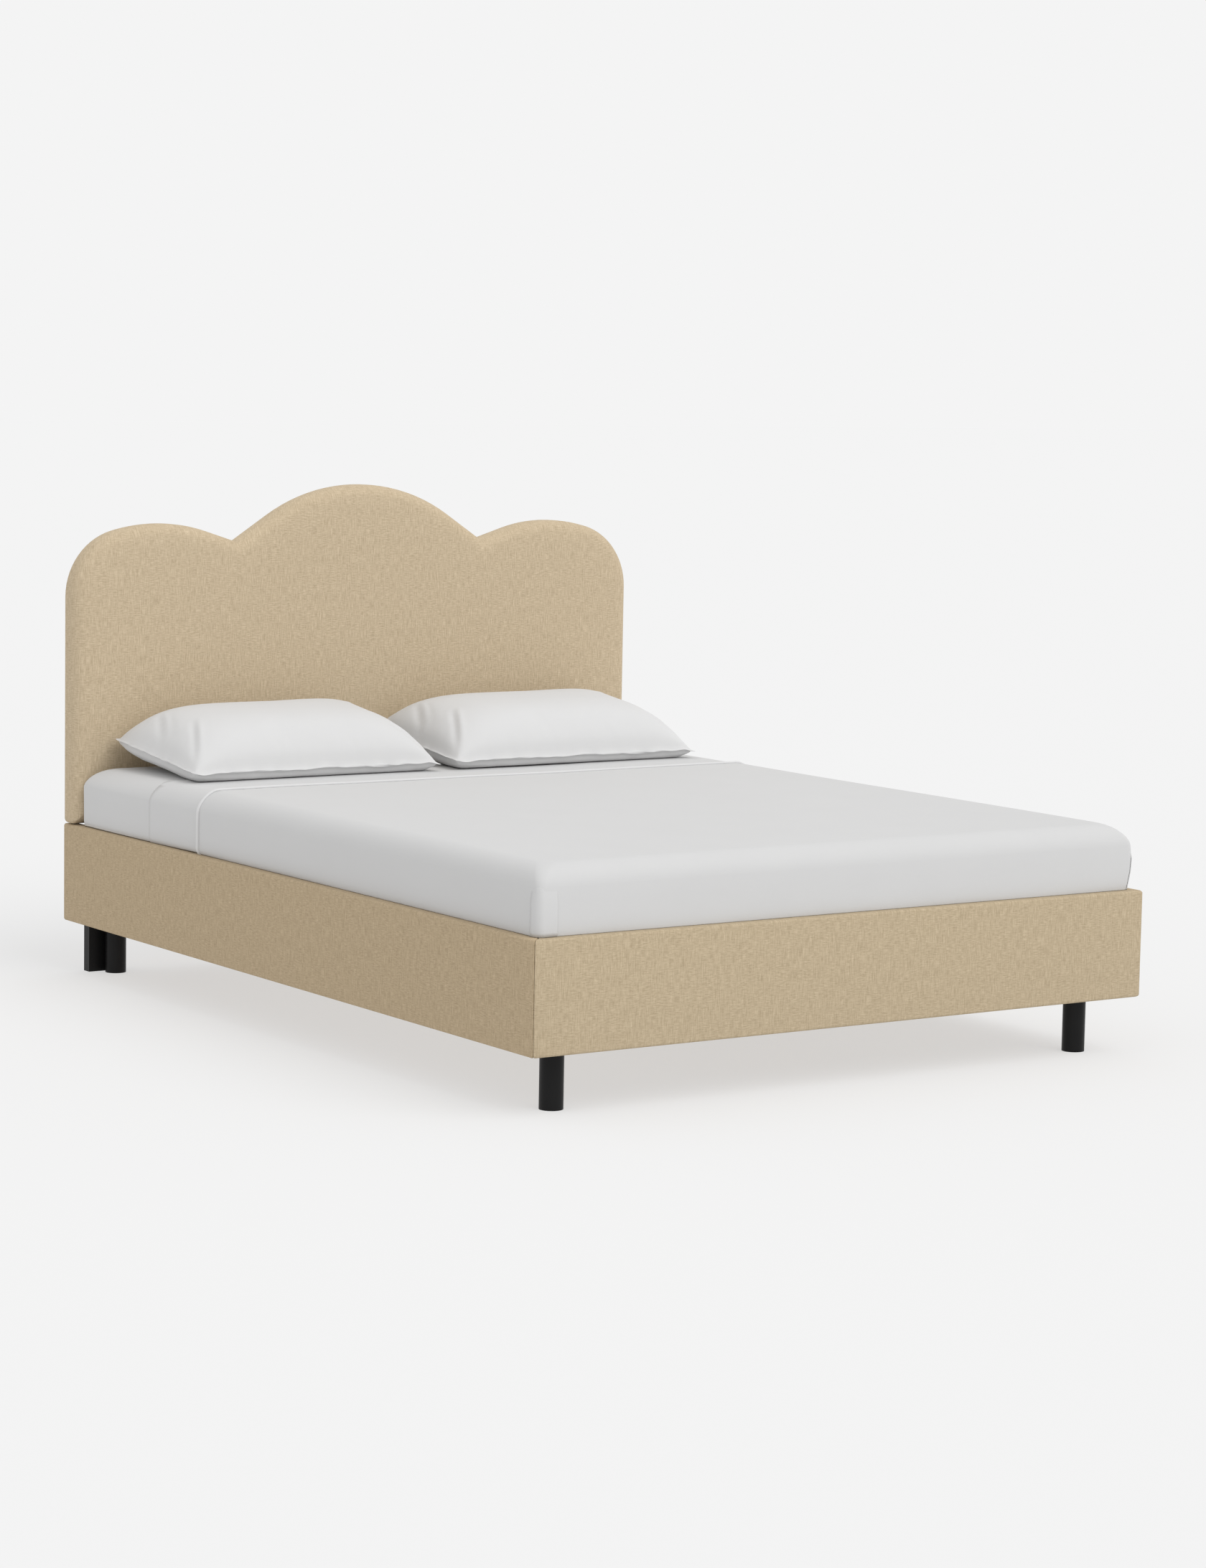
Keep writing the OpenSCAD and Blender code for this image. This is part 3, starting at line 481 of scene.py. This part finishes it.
ALONG_X = (0, 0, 0)
ALONG_Y = (0, 0, math.pi / 2)
PINE_PALE = (0.62, 0.44, 0.25)
PINE_DARK = (0.42, 0.25, 0.12)
pine_across = wood_material("pine_across", PINE_PALE, PINE_DARK, ALONG_X, 0.68)
pine_lengthways = wood_material("pine_lengthways", PINE_PALE, PINE_DARK, ALONG_Y, 0.68)
slat_wood = wood_material("slat_wood", (0.70, 0.53, 0.33), (0.53, 0.36, 0.19), ALONG_X, 0.62)
birch_ply = wood_material("birch_ply", (0.66, 0.50, 0.31), (0.50, 0.34, 0.18), ALONG_X, 0.66)
finish_nodes(pine_across, "head_rail", "foot_rail_board", "corner_blocks")
finish_nodes(pine_across, "headboard_edge_frame", "headboard_batten_low", "headboard_batten_high")
finish_nodes(pine_lengthways, "side_rail_board_left", "side_rail_board_right", "cleat_left", "cleat_right")
finish_nodes(pine_lengthways, "middle_beam")
finish_nodes(birch_ply, "headboard_panel")
finish_nodes(slat_wood, *["slat_%d" % number for number in range(1, 13)])


# ---- Painted legs and posts ----
# Round turned corner legs and flat headboard posts, in black satin paint that shows a
# little of the brushing.
black_paint, tree = new_material("black_satin_paint")
place = add_node(tree, "TexCoord", {}).outputs["Object"]
brushing = stretched_noise(tree, place, (160, 160, 7), 3.0)
handling = stretched_noise(tree, place, (14, 14, 14), 2.0)
paint_tone = blend(tree, handling, (0.0040, 0.0040, 0.0042), (0.0080, 0.0080, 0.0083))
paint_rough = ranged(tree, handling, (0, 1), (0.34, 0.50))
paint_relief = bump(tree, brushing, 0.2, 0.0003)
shader = close_material(tree, Base_Color=paint_tone, Roughness=paint_rough, Normal=paint_relief)
shader.inputs["Specular IOR Level"].default_value = 0.18
finish_nodes(black_paint, "foot_leg_left", "foot_leg_right", "head_leg_left", "head_leg_right")
finish_nodes(black_paint, "headboard_post_left", "headboard_post_right")


# ---- Steel and plastic fittings ----
# Pressed steel brackets and hangers in black, zinc-plated bolts, yellow-passivated wood
# screws, steel middle legs, and moulded plastic glides that screw up and down.
def hard_material(name, colour, worn, metallic, roughness):
    """Metal or plastic, clouded by handling from its own colour to the worn one, finely scratched."""
    material, tree = new_material(name)
    place = add_node(tree, "TexCoord", {}).outputs["Object"]
    clouds = stretched_noise(tree, place, (45, 45, 45), 3.0)
    scratches = stretched_noise(tree, place, (600, 40, 40), 2.0)
    tone = blend(tree, clouds, colour, worn)
    rough = ranged(tree, clouds, (0, 1), roughness)
    relief = bump(tree, scratches, 0.15, 0.0002)
    shader = close_material(tree, Base_Color=tone, Roughness=rough, Normal=relief)
    shader.inputs["Metallic"].default_value = metallic
    return material


black_steel = hard_material("black_steel", (0.016, 0.016, 0.017), (0.032, 0.032, 0.034), 0.0, (0.40, 0.55))
zinc = hard_material("zinc_plate", (0.56, 0.57, 0.59), (0.68, 0.69, 0.71), 1.0, (0.28, 0.45))
yellow_zinc = hard_material("yellow_zinc", (0.62, 0.47, 0.22), (0.70, 0.60, 0.38), 1.0, (0.30, 0.46))
GLIDE_GREY = (0.020, 0.020, 0.021)
GLIDE_WORN = (0.035, 0.035, 0.036)
glide_plastic = hard_material("glide_plastic", GLIDE_GREY, GLIDE_WORN, 0.0, (0.50, 0.62))
finish_nodes(black_steel, "corner_brackets", "beam_hanger_foot", "beam_hanger_head")
finish_nodes(black_steel, "middle_leg_1", "middle_leg_2", "middle_leg_3")
finish_nodes(zinc, "frame_bolts", "leg_bolts")
finish_nodes(yellow_zinc, "wood_screws")
finish_nodes(glide_plastic, "glide_1", "glide_2", "glide_3")


# ---- Mattress ----
# A deep soft mattress in knitted ticking. It bulges out over the rails above a narrower
# lower part, with a soft top edge all round and tighter upright corners.
MATTRESS_LOW, MATTRESS_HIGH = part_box("mattress")
BULGE_SIDE = 0.023
BULGE_FOOT = 0.010
SIDE_SWELL = 0.0235
FOOT_SWELL = 0.0145
NECK_Z = 0.3742
TOP_EDGE_R = 0.045
UPRIGHT_R = 0.018
TOP_CORNER_R = 0.030
TOP_STEP = 0.022
STEPS_ACROSS = 54
STEPS_ALONG = 68
BOTTOM_ROUND = 0.003
LIP_ROUND = 0.002
HEAD_SPREAD = 0.015
TOP_GIVE = 0.0035
SIDE_WAVER = 0.0022
RIGHT_BULGE = 0.012
RAIL_SAG = 0.0034
SAG_REACH = 0.014
AT_FOOT_Y = -0.98
# Each of these pairs is where a gradual change starts, and how far on it is complete.
TOWARDS_TOP = (0.47, 0.04)
ABOVE_RAIL = (NECK_Z - 0.006, 0.008)
UP_THE_SIDE = (NECK_Z, 0.125)
TOWARDS_SIDE = (0.70, 0.09)
TOWARDS_HEAD_END = (-0.3, 1.2)
PAST_COVERLET = (0.40, 0.26)


def bed_ring(bm, half, foot, head, radius, z):
    """A level loop of edges with rounded corners, split evenly along its straight sides."""
    made = bmesh.ops.create_grid(bm, x_segments=1, y_segments=1, size=0.5)
    bmesh.ops.scale(bm, vec=(2 * half, head - foot, 1), verts=made["verts"])
    bmesh.ops.translate(bm, vec=(0, (head + foot) / 2, z), verts=made["verts"])
    bmesh.ops.bevel(
        bm, geom=bm.verts[:], offset=radius, segments=8, profile=0.5, affect="VERTICES", material=-1
    )
    for axis, cuts in ((0, STEPS_ACROSS), (1, STEPS_ALONG)):
        long_edges = [
            edge for edge in bm.edges if abs(edge.verts[0].co[axis] - edge.verts[1].co[axis]) > 0.5
        ]
        bmesh.ops.subdivide_edges(bm, edges=long_edges, cuts=cuts)
    bmesh.ops.delete(bm, geom=bm.faces[:], context="FACES_KEEP_BOUNDARY")
    return bm.edges[:]


def carried(place, old, new):
    """Where a point of one level loop belongs on the next one."""
    half, foot, head, radius, _ = old
    new_half, new_foot, new_head, new_radius, new_z = new
    side = math.copysign(1, place.x)
    beyond_x = abs(place.x) - (half - radius)
    beyond_y = max(place.y - (head - radius), foot + radius - place.y)
    at_head = place.y > (head + foot) / 2
    if beyond_x > -1e-6 and beyond_y > -1e-6:
        x = new_half - new_radius + beyond_x * new_radius / radius
        reach = new_radius - beyond_y * new_radius / radius
        return Vector((side * x, new_head - reach if at_head else new_foot + reach, new_z))
    if beyond_x > -1e-6:
        share = (place.y - foot - radius) / (head - foot - 2 * radius)
        y = new_foot + new_radius + share * (new_head - new_foot - 2 * new_radius)
        return Vector((side * new_half, y, new_z))
    x = place.x * (new_half - new_radius) / (half - radius)
    return Vector((x, new_head if at_head else new_foot, new_z))


def ramp(value, change):
    """How much of a change is complete at a value, from 0 before it to 1 after it."""
    start, run = change
    return max(0.0, min(1.0, (value - start) / run))


def settle(place):
    """Moves a point of the bedding as the soft mattress gives: a little down, a little out."""
    x, y, z = place
    on_top = ramp(z, TOWARDS_TOP)
    on_side = ramp(z, ABOVE_RAIL) * (1 - on_top)
    side_from, side_run = TOWARDS_SIDE
    near_side = max(0.0, abs(x) - side_from) / side_run
    give = 0.5 + 0.5 * noise.noise((x * 2.3, y * 1.9, 4.0))
    waver = SIDE_WAVER * noise.noise((x * 5.0, y * 3.1, z * 4.0 + 7.0))
    spread = HEAD_SPREAD * ramp(y, TOWARDS_HEAD_END) ** 1.5
    near_neck = max(0.0, 1 - abs(z - NECK_Z) / SAG_REACH)
    place.z -= on_top * TOP_GIVE * give
    if x > 0:
        place.x += RIGHT_BULGE * math.sin(math.pi * ramp(z, UP_THE_SIDE)) * near_side
    place.x += math.copysign((waver + spread) * on_side * near_side, x)
    if y < AT_FOOT_Y:
        place.y -= 0.5 * waver * on_side
    place.z -= RAIL_SAG * ramp(y, PAST_COVERLET) * near_neck


def set_in(size, inset, radius, z):
    """A level row of the bedding: half width, foot, head, corner radius and height."""
    half, foot, head = size
    return half - inset, foot + inset, head - inset, radius, z


def bed_shell(bm, grow, tucked):
    """The bedding's skin, from the edge turned in below to the middle of the top."""
    half = MATTRESS_HIGH.x - BULGE_SIDE + grow
    foot = MATTRESS_LOW.y + BULGE_FOOT - grow
    head = MATTRESS_HIGH.y + min(grow, 0.0026)
    wide = half + SIDE_SWELL
    far_foot = foot - FOOT_SWELL
    lower = (half, foot, head)
    upper = (wide, far_foot, head)
    low = MATTRESS_LOW.z - grow
    top = MATTRESS_HIGH.z + grow
    neck = NECK_Z - grow
    edge_r = TOP_EDGE_R + grow
    rows = [set_in(lower, inset, UPRIGHT_R, low) for inset in tucked]
    rows.append(set_in(lower, BOTTOM_ROUND, UPRIGHT_R, low + BOTTOM_ROUND))
    for z in (low + 0.012, low + 0.045, low + 0.080, neck - 0.006):
        rows.append(set_in(lower, 0.0, UPRIGHT_R, z))
    for share, rise in ((0.35, 0.0), (0.95, 0.0), (0.99, LIP_ROUND / 4), (1.0, LIP_ROUND)):
        rows.append((
            half + (wide - half) * share, foot + (far_foot - foot) * share, head, UPRIGHT_R, neck + rise
        ))
    straight = top - edge_r - neck - LIP_ROUND
    for share in (0.1, 0.4, 0.7):
        rows.append(set_in(upper, 0.0, UPRIGHT_R, neck + LIP_ROUND + straight * share))
    for step in range(0, 9):
        angle = step / 8 * math.pi / 2
        inset = edge_r * (1 - math.cos(angle))
        z = top - edge_r * (1 - math.sin(angle))
        rows.append(set_in(upper, inset, UPRIGHT_R + inset * 0.45, z))
    inset = edge_r
    while inset < wide - 0.05:
        inset += TOP_STEP
        rows.append(set_in(upper, inset, TOP_CORNER_R, top))
    first_loop = bed_ring(bm, *rows[0])
    loop = first_loop
    for old, new in zip(rows, rows[1:]):
        grown = bmesh.ops.extrude_edge_only(bm, edges=loop)["geom"]
        moved = {part for part in grown if isinstance(part, bmesh.types.BMVert)}
        for vert in moved:
            vert.co = carried(vert.co, old, new)
        loop = [
            part for part in grown if isinstance(part, bmesh.types.BMEdge) and set(part.verts) <= moved
        ]
    bmesh.ops.contextual_create(bm, geom=loop)
    return first_loop


def finish_shell(bm):
    """Settles every point of a skin and turns its faces outward."""
    for vert in bm.verts:
        settle(vert.co)
    bmesh.ops.recalc_face_normals(bm, faces=bm.faces)


ticking, tree = new_material("mattress_ticking")
place = add_node(tree, "TexCoord", {}).outputs["Object"]
quilting = add_node(tree, "TexVoronoi", {"Vector": place, "Scale": 11.0}, feature="SMOOTH_F1").outputs[0]
knit = stretched_noise(tree, place, (700, 700, 700), 1.0)
ticking_tone = blend(tree, knit, (0.66, 0.66, 0.65), (0.74, 0.74, 0.73))
close_material(tree, Base_Color=ticking_tone, Roughness=0.9, Normal=bump(tree, quilting, 0.5, 0.004))
bm = bmesh.new()
bottom_ring = bed_shell(bm, 0.0, (0.10, 0.05, 0.012))
bmesh.ops.contextual_create(bm, geom=bottom_ring)
finish_shell(bm)
mattress = new_piece("mattress_slab", bm, ticking)
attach(mattress, "mattress")
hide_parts("mattress")


# ---- Sheets ----
# A fitted sheet, a top sheet and a heavier coverlet in white cotton, pulled smooth over
# the mattress and tucked in under it on both sides and at the foot.
cotton_threads, given, result = new_group("cotton_threads", "Tone", "Height")
fine_threads = stretched_noise(cotton_threads, given.outputs[0], (900, 900, 900), 1.0)
soft_creases = stretched_noise(cotton_threads, given.outputs[0], (9, 7, 11), 3.0)
# The tone follows the soft creases as well as the fine threads: beside the threads' own random tone, it is
# painted shade, darker in the creases' hollows and lighter on their ridges.
cotton_tone_and_crease_shade = weighted_sum(cotton_threads, [(fine_threads, 0.8), (soft_creases, 0.4)])
cotton_height = weighted_sum(cotton_threads, [(fine_threads, 0.10), (soft_creases, 1.0)])
cotton_threads.links.new(calc(cotton_threads, "ADD", cotton_tone_and_crease_shade, 0.5), result.inputs[0])
cotton_threads.links.new(cotton_height, result.inputs[1])
TUCK_W = 0.120
EDGE_WANDER = 0.016
WANDER_REACH = 0.12
HEM_RISE = 0.0042
HEM_W = 0.009


def cotton_material(name, brightness, crease_depth):
    material, tree = new_material(name)
    place = add_node(tree, "TexCoord", {}).outputs["Object"]
    threads = add_node(tree, "Group", {0: place}, node_tree=cotton_threads)
    dim = [brightness * share for share in (0.966, 0.965, 0.964)]
    full = [brightness * share for share in (1.034, 1.033, 1.032)]
    tone = blend(tree, threads.outputs[0], dim, full)
    relief = bump(tree, threads.outputs[1], 0.6, crease_depth)
    shader = close_material(tree, Base_Color=tone, Roughness=0.88, Normal=relief)
    shader.inputs["Specular IOR Level"].default_value = 0.25
    shader.inputs["Sheen Weight"].default_value = 0.08
    return material


def head_edge_wave(bm, edge_y):
    """Lets the free edge of a sheet wander by a centimetre or so, as a hand-laid edge does."""
    for vert in bm.verts:
        near = math.exp(-abs(vert.co.y - edge_y) / WANDER_REACH)
        vert.co.y += near * EDGE_WANDER * noise.noise((vert.co.x * 2.6, edge_y * 5, 1.0))


def cut_along(bm, point, normal, **clearing):
    """Cuts the whole mesh along a plane; clearing says which side of it is dropped."""
    whole = bm.verts[:] + bm.edges[:] + bm.faces[:]
    bmesh.ops.bisect_plane(bm, geom=whole, plane_co=point, plane_no=normal, **clearing)


def push_out(bm, distance_at):
    """Moves every point along its own normal, by the distance that is asked for at its place."""
    bm.normal_update()
    for vert in bm.verts:
        vert.co += vert.normal * distance_at(vert.co)


def roll_strip(bm, low_y, high_y):
    """Rounds a flat strip into a rolled hem, split along its length and pushed up in the middle."""
    width = high_y - low_y
    for step in range(1, 6):
        cut_along(bm, (0, low_y + width * step / 6, 0), (0, 1, 0))

    def rolled(place):
        across = 2 * (place.y - low_y) / width - 1
        return HEM_RISE * math.sqrt(max(0.0, 1 - across * across))

    push_out(bm, rolled)


def cloth_on_bed(name, bm, material, thickness):
    """Settles a cut skin and gives it the cloth's thickness, on its inner side."""
    finish_shell(bm)
    piece = new_piece(name, bm, material)
    wall = piece.modifiers.new("cloth", "SOLIDIFY")
    wall.thickness = thickness
    wall.offset = -1
    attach(piece, "mattress")
    return piece


def sheet_piece(name, material, grow, thickness, edge_y=None, strip_y=None):
    """A cloth that stands out from the mattress by grow: whole, up to edge_y, or a strip ending there."""
    bm = bmesh.new()
    bed_shell(bm, grow, (TUCK_W, 0.06, 0.012))
    bmesh.ops.recalc_face_normals(bm, faces=bm.faces)
    if edge_y is not None:
        cut_along(bm, (0, edge_y, 0), (0, 1, 0), clear_outer=True)
        if strip_y is not None:
            cut_along(bm, (0, strip_y, 0), (0, 1, 0), clear_inner=True)
            roll_strip(bm, strip_y, edge_y)
        head_edge_wave(bm, edge_y)
    return cloth_on_bed(name, bm, material, thickness)


sheet_cotton = cotton_material("sheet_cotton", 0.575, 0.0016)
coverlet_cotton = cotton_material("coverlet_cotton", 0.572, 0.0012)
# The hem's cotton is lighter than the coverlet's, as a painted highlight along the rolled hem.
hem_cotton_painted_highlight = cotton_material("hem_cotton_painted_highlight", 0.63, 0.0006)
TOP_SHEET_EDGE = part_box("top_sheet")[1].y - 0.018
COVERLET_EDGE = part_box("coverlet")[1].y

fitted = sheet_piece("fitted_sheet_cloth", sheet_cotton, 0.0012, 0.0011)
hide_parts("fitted_sheet")

top_sheet = sheet_piece("top_sheet_cloth", sheet_cotton, 0.0028, 0.0010, TOP_SHEET_EDGE)
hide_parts("top_sheet")

coverlet = sheet_piece("coverlet_cloth", coverlet_cotton, 0.0048, 0.0016, COVERLET_EDGE)
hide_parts("coverlet")
hem = sheet_piece("coverlet_hem", hem_cotton_painted_highlight, 0.0050, 0.0020, COVERLET_EDGE + 0.002, COVERLET_EDGE - HEM_W)

PLEAT_TOP = 0.478
PLEAT_BOTTOM = NECK_Z - 0.0044
PLEAT_FADE = 0.035
PLEAT_SINK = 0.0052


def corner_pleat(name, side, proud, across, along):
    """The spare cloth folded flat at a foot corner, so far across the foot and along the side."""
    bm = bmesh.new()
    bed_shell(bm, proud, (0.012,))
    bmesh.ops.recalc_face_normals(bm, faces=bm.faces)
    from_x = MATTRESS_HIGH.x - BULGE_SIDE + SIDE_SWELL - across
    to_y = MATTRESS_LOW.y + BULGE_FOOT - FOOT_SWELL + along
    cut_along(bm, (side * from_x, 0, 0), (-side, 0, 0), clear_outer=True)
    cut_along(bm, (0, to_y, 0), (0, 1, 0), clear_outer=True)
    cut_along(bm, (0, 0, PLEAT_TOP), (0, 0, 1), clear_outer=True)
    cut_along(bm, (0, 0, PLEAT_BOTTOM), (0, 0, -1), clear_outer=True)

    def sunk(place):
        return -PLEAT_SINK * max(0.0, (place.z - (PLEAT_TOP - PLEAT_FADE)) / PLEAT_FADE)

    push_out(bm, sunk)
    piece = cloth_on_bed(name, bm, coverlet_cotton, proud - 0.0050)
    return piece


pleats = [
    corner_pleat("coverlet_pleat_left", -1, 0.0078, 0.041, 0.021),
    corner_pleat("coverlet_pleat_right", 1, 0.0060, 0.003, 0.041),
]


# ---- Pillows ----
# Two pillows in plain cotton cases, two panels each, sewn together round the edge. One is
# filled until it swells, and both are laid from it, belly down with the back edge raised.
pillow_cotton = cotton_material("pillow_cotton", 0.615, 0.0012)
PILLOW_HALF_W = 0.350
PILLOW_HALF_D = 0.220
PILLOW_CROWN = 0.112
UNFILLED_SHARE = 0.96
PILLOW_BELLY = 0.034
PILLOW_EAR = 0.055
PILLOW_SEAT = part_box("pillowcase_left")[0].z
PILLOW_Y = 0.762
BACK_EDGE_RISE = 0.046
PILLOW_TILT = math.asin(BACK_EDGE_RISE / (2 * PILLOW_HALF_D))
SEAM_RISE = 0.0411
SEWN_EDGE = 0.0075
FILLING_FRAMES = 20
FILLING_PUSH = 0.006
PILLOW_FOLDS = [
    ((-0.97, -0.90), (-0.76, -0.15), 0.0085, 0.022),
    ((-0.99, -0.10), (-0.82, 0.50), 0.0075, 0.022),
    ((0.96, -0.92), (0.72, -0.50), 0.0065, 0.025),
    ((0.97, 0.90), (0.80, 0.30), 0.0050, 0.030),
    ((-0.30, -0.99), (-0.27, -0.80), 0.0016, 0.030),
    ((0.35, -0.99), (0.31, -0.82), 0.0016, 0.030),
]


def fold_depth(across, along):
    """How far soft folds run in from the corners and seams of a filled pillow."""
    total = 0.0
    here = Vector((across, along))
    for start, end, depth, width in PILLOW_FOLDS:
        run = Vector(end) - Vector(start)
        reached = here - Vector(start)
        share = reached.dot(run) / run.length_squared
        off = reached - run * share
        sideways = off.x * run.y - off.y * run.x
        fade = max(0.0, 1 - (2 * share - 1) ** 2) if 0 < share < 1 else 0.0
        valley = math.exp(-(off.length / width) ** 2)
        ridge = math.exp(-((off.length - 1.5 * width) / width) ** 2) if sideways > 0 else 0.0
        total += depth * fade * (0.8 * ridge - valley)
    return total


def pillow_panels():
    """Two panels joined round a thin edge, bowed out nearly as far as the filling pushes them."""
    bm = bmesh.new()
    bmesh.ops.create_grid(bm, x_segments=76, y_segments=50, size=1)
    raised = bmesh.ops.extrude_face_region(bm, geom=bm.faces[:])
    upper = {part for part in raised["geom"] if isinstance(part, bmesh.types.BMVert)}
    seam_mark = bm.faces.layers.int.new("seam")
    for face in bm.faces:
        face[seam_mark] = len(upper & set(face.verts)) == 2
    for vert in bm.verts:
        across, along = vert.co.x, vert.co.y
        bow = max(0.0, 1 - abs(across) ** 4.6) ** 0.55 * max(0.0, 1 - abs(along) ** 2.8) ** 0.58
        x = across * (1 - 0.030 * (1 - along * along) - 0.045 * max(0.0, along) ** 3 * across * across)
        y = along * (1 - 0.040 * (1 - across * across))
        if vert in upper:
            crown = PILLOW_CROWN * UNFILLED_SHARE * bow
            z = 0.0012 + crown + fold_depth(across, along) * min(1.0, 4 * bow)
        else:
            z = -PILLOW_BELLY * min(1.0, 1.3 * bow)
            past_seam = min(1.0, 8 * bow)
            x *= max(abs(across), 0.01) ** -0.4 * (1 + 0.010 * past_seam)
            y *= max(abs(along), 0.01) ** -0.5 * (1 + 0.016 * past_seam)
        z += PILLOW_EAR * (max(0.0, across) * max(0.0, along)) ** 2
        edge = max(abs(across), abs(along)) ** 8
        z += edge * 0.0022 * noise.noise((x * 16, y * 11, 3.0))
        vert.co = (x * PILLOW_HALF_W, y * PILLOW_HALF_D, z)
    bmesh.ops.recalc_face_normals(bm, faces=bm.faces)
    return bm


def swell_with_cloth(piece):
    """Lets the filling push the sewn panels out for a few frames, no point by more than its cap."""
    before = [vert.co.copy() for vert in piece.data.vertices]
    cloth = piece.modifiers.new("filling", "CLOTH")
    cloth.settings.quality = 6
    cloth.settings.mass = 0.3
    cloth.settings.tension_stiffness = 20
    cloth.settings.compression_stiffness = 20
    cloth.settings.shear_stiffness = 6
    cloth.settings.bending_stiffness = 0.2
    cloth.settings.use_pressure = True
    cloth.settings.uniform_pressure_force = 4.0
    cloth.settings.effector_weights.gravity = 0
    cloth.collision_settings.use_collision = False
    cloth.point_cache.frame_end = FILLING_FRAMES
    scene = bpy.context.scene
    for number in range(1, FILLING_FRAMES + 1):
        scene.frame_set(number)
    posed = piece.evaluated_get(bpy.context.evaluated_depsgraph_get())
    swollen = bpy.data.meshes.new_from_object(posed)
    piece.modifiers.remove(cloth)
    for vert, old, new in zip(piece.data.vertices, before, swollen.vertices):
        move = new.co - old
        if move.length > FILLING_PUSH:
            move = move.normalized() * FILLING_PUSH
        vert.co = old + move
    bpy.data.meshes.remove(swollen)
    scene.frame_set(1)


def filled_pillow():
    """One filled case with its sewn edge, lying level with the seam at height 0."""
    panels = new_piece("pillow_panels", pillow_panels(), pillow_cotton)
    swell_with_cloth(panels)
    bm = bmesh.new()
    bm.from_mesh(panels.data)
    bpy.data.objects.remove(panels)
    seam_mark = bm.faces.layers.int["seam"]
    seam = [face for face in bm.faces if face[seam_mark]]
    edge = bmesh.ops.extrude_face_region(bm, geom=seam)
    bmesh.ops.delete(bm, geom=seam, context="FACES")
    for part in edge["geom"]:
        if isinstance(part, bmesh.types.BMVert):
            across = part.co.x / PILLOW_HALF_W
            along = part.co.y / PILLOW_HALF_D
            outermost = max(abs(across), abs(along)) - 0.03
            if abs(across) > outermost:
                part.co.x += math.copysign(SEWN_EDGE, across)
            if abs(along) > outermost:
                part.co.y += math.copysign(SEWN_EDGE, along)
            part.co.z += 0.0010 + 0.0085 * noise.noise((part.co.x * 27, part.co.y * 27, 8.0))
    return bm


def lay_pillow(side, filled, stretch, shift):
    """Lays a copy of the filled case on the sheet, its back edge raised against the headboard."""
    node = "pillowcase_" + side
    low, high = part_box(node)
    centre = (low.x + high.x) / 2 + shift
    bm = filled.copy()
    widest = max(abs(vert.co.x) for vert in bm.verts)
    width = stretch * min(1.0, (PILLOW_HALF_W - 0.001) / widest)
    cosine = math.cos(PILLOW_TILT)
    sine = math.sin(PILLOW_TILT)
    for vert in bm.verts:
        x, level_y, level_z = vert.co
        y = level_y * cosine - level_z * sine
        z = level_y * sine + level_z * cosine
        vert.co = (centre + x * width, PILLOW_Y + y, PILLOW_SEAT + max(0.0, SEAM_RISE + z))
    bmesh.ops.recalc_face_normals(bm, faces=bm.faces)
    piece = new_piece("pillow_" + side + "_filled", bm, pillow_cotton)
    rounding = piece.modifiers.new("rounding", "SUBSURF")
    rounding.levels = 1
    rounding.render_levels = 1
    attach(piece, "pillow_" + side)
    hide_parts("pillow_" + side, node)


filled = filled_pillow()
lay_pillow("left", filled, 0.985, -0.005)
lay_pillow("right", filled, 1.040, 0.010)
filled.free()
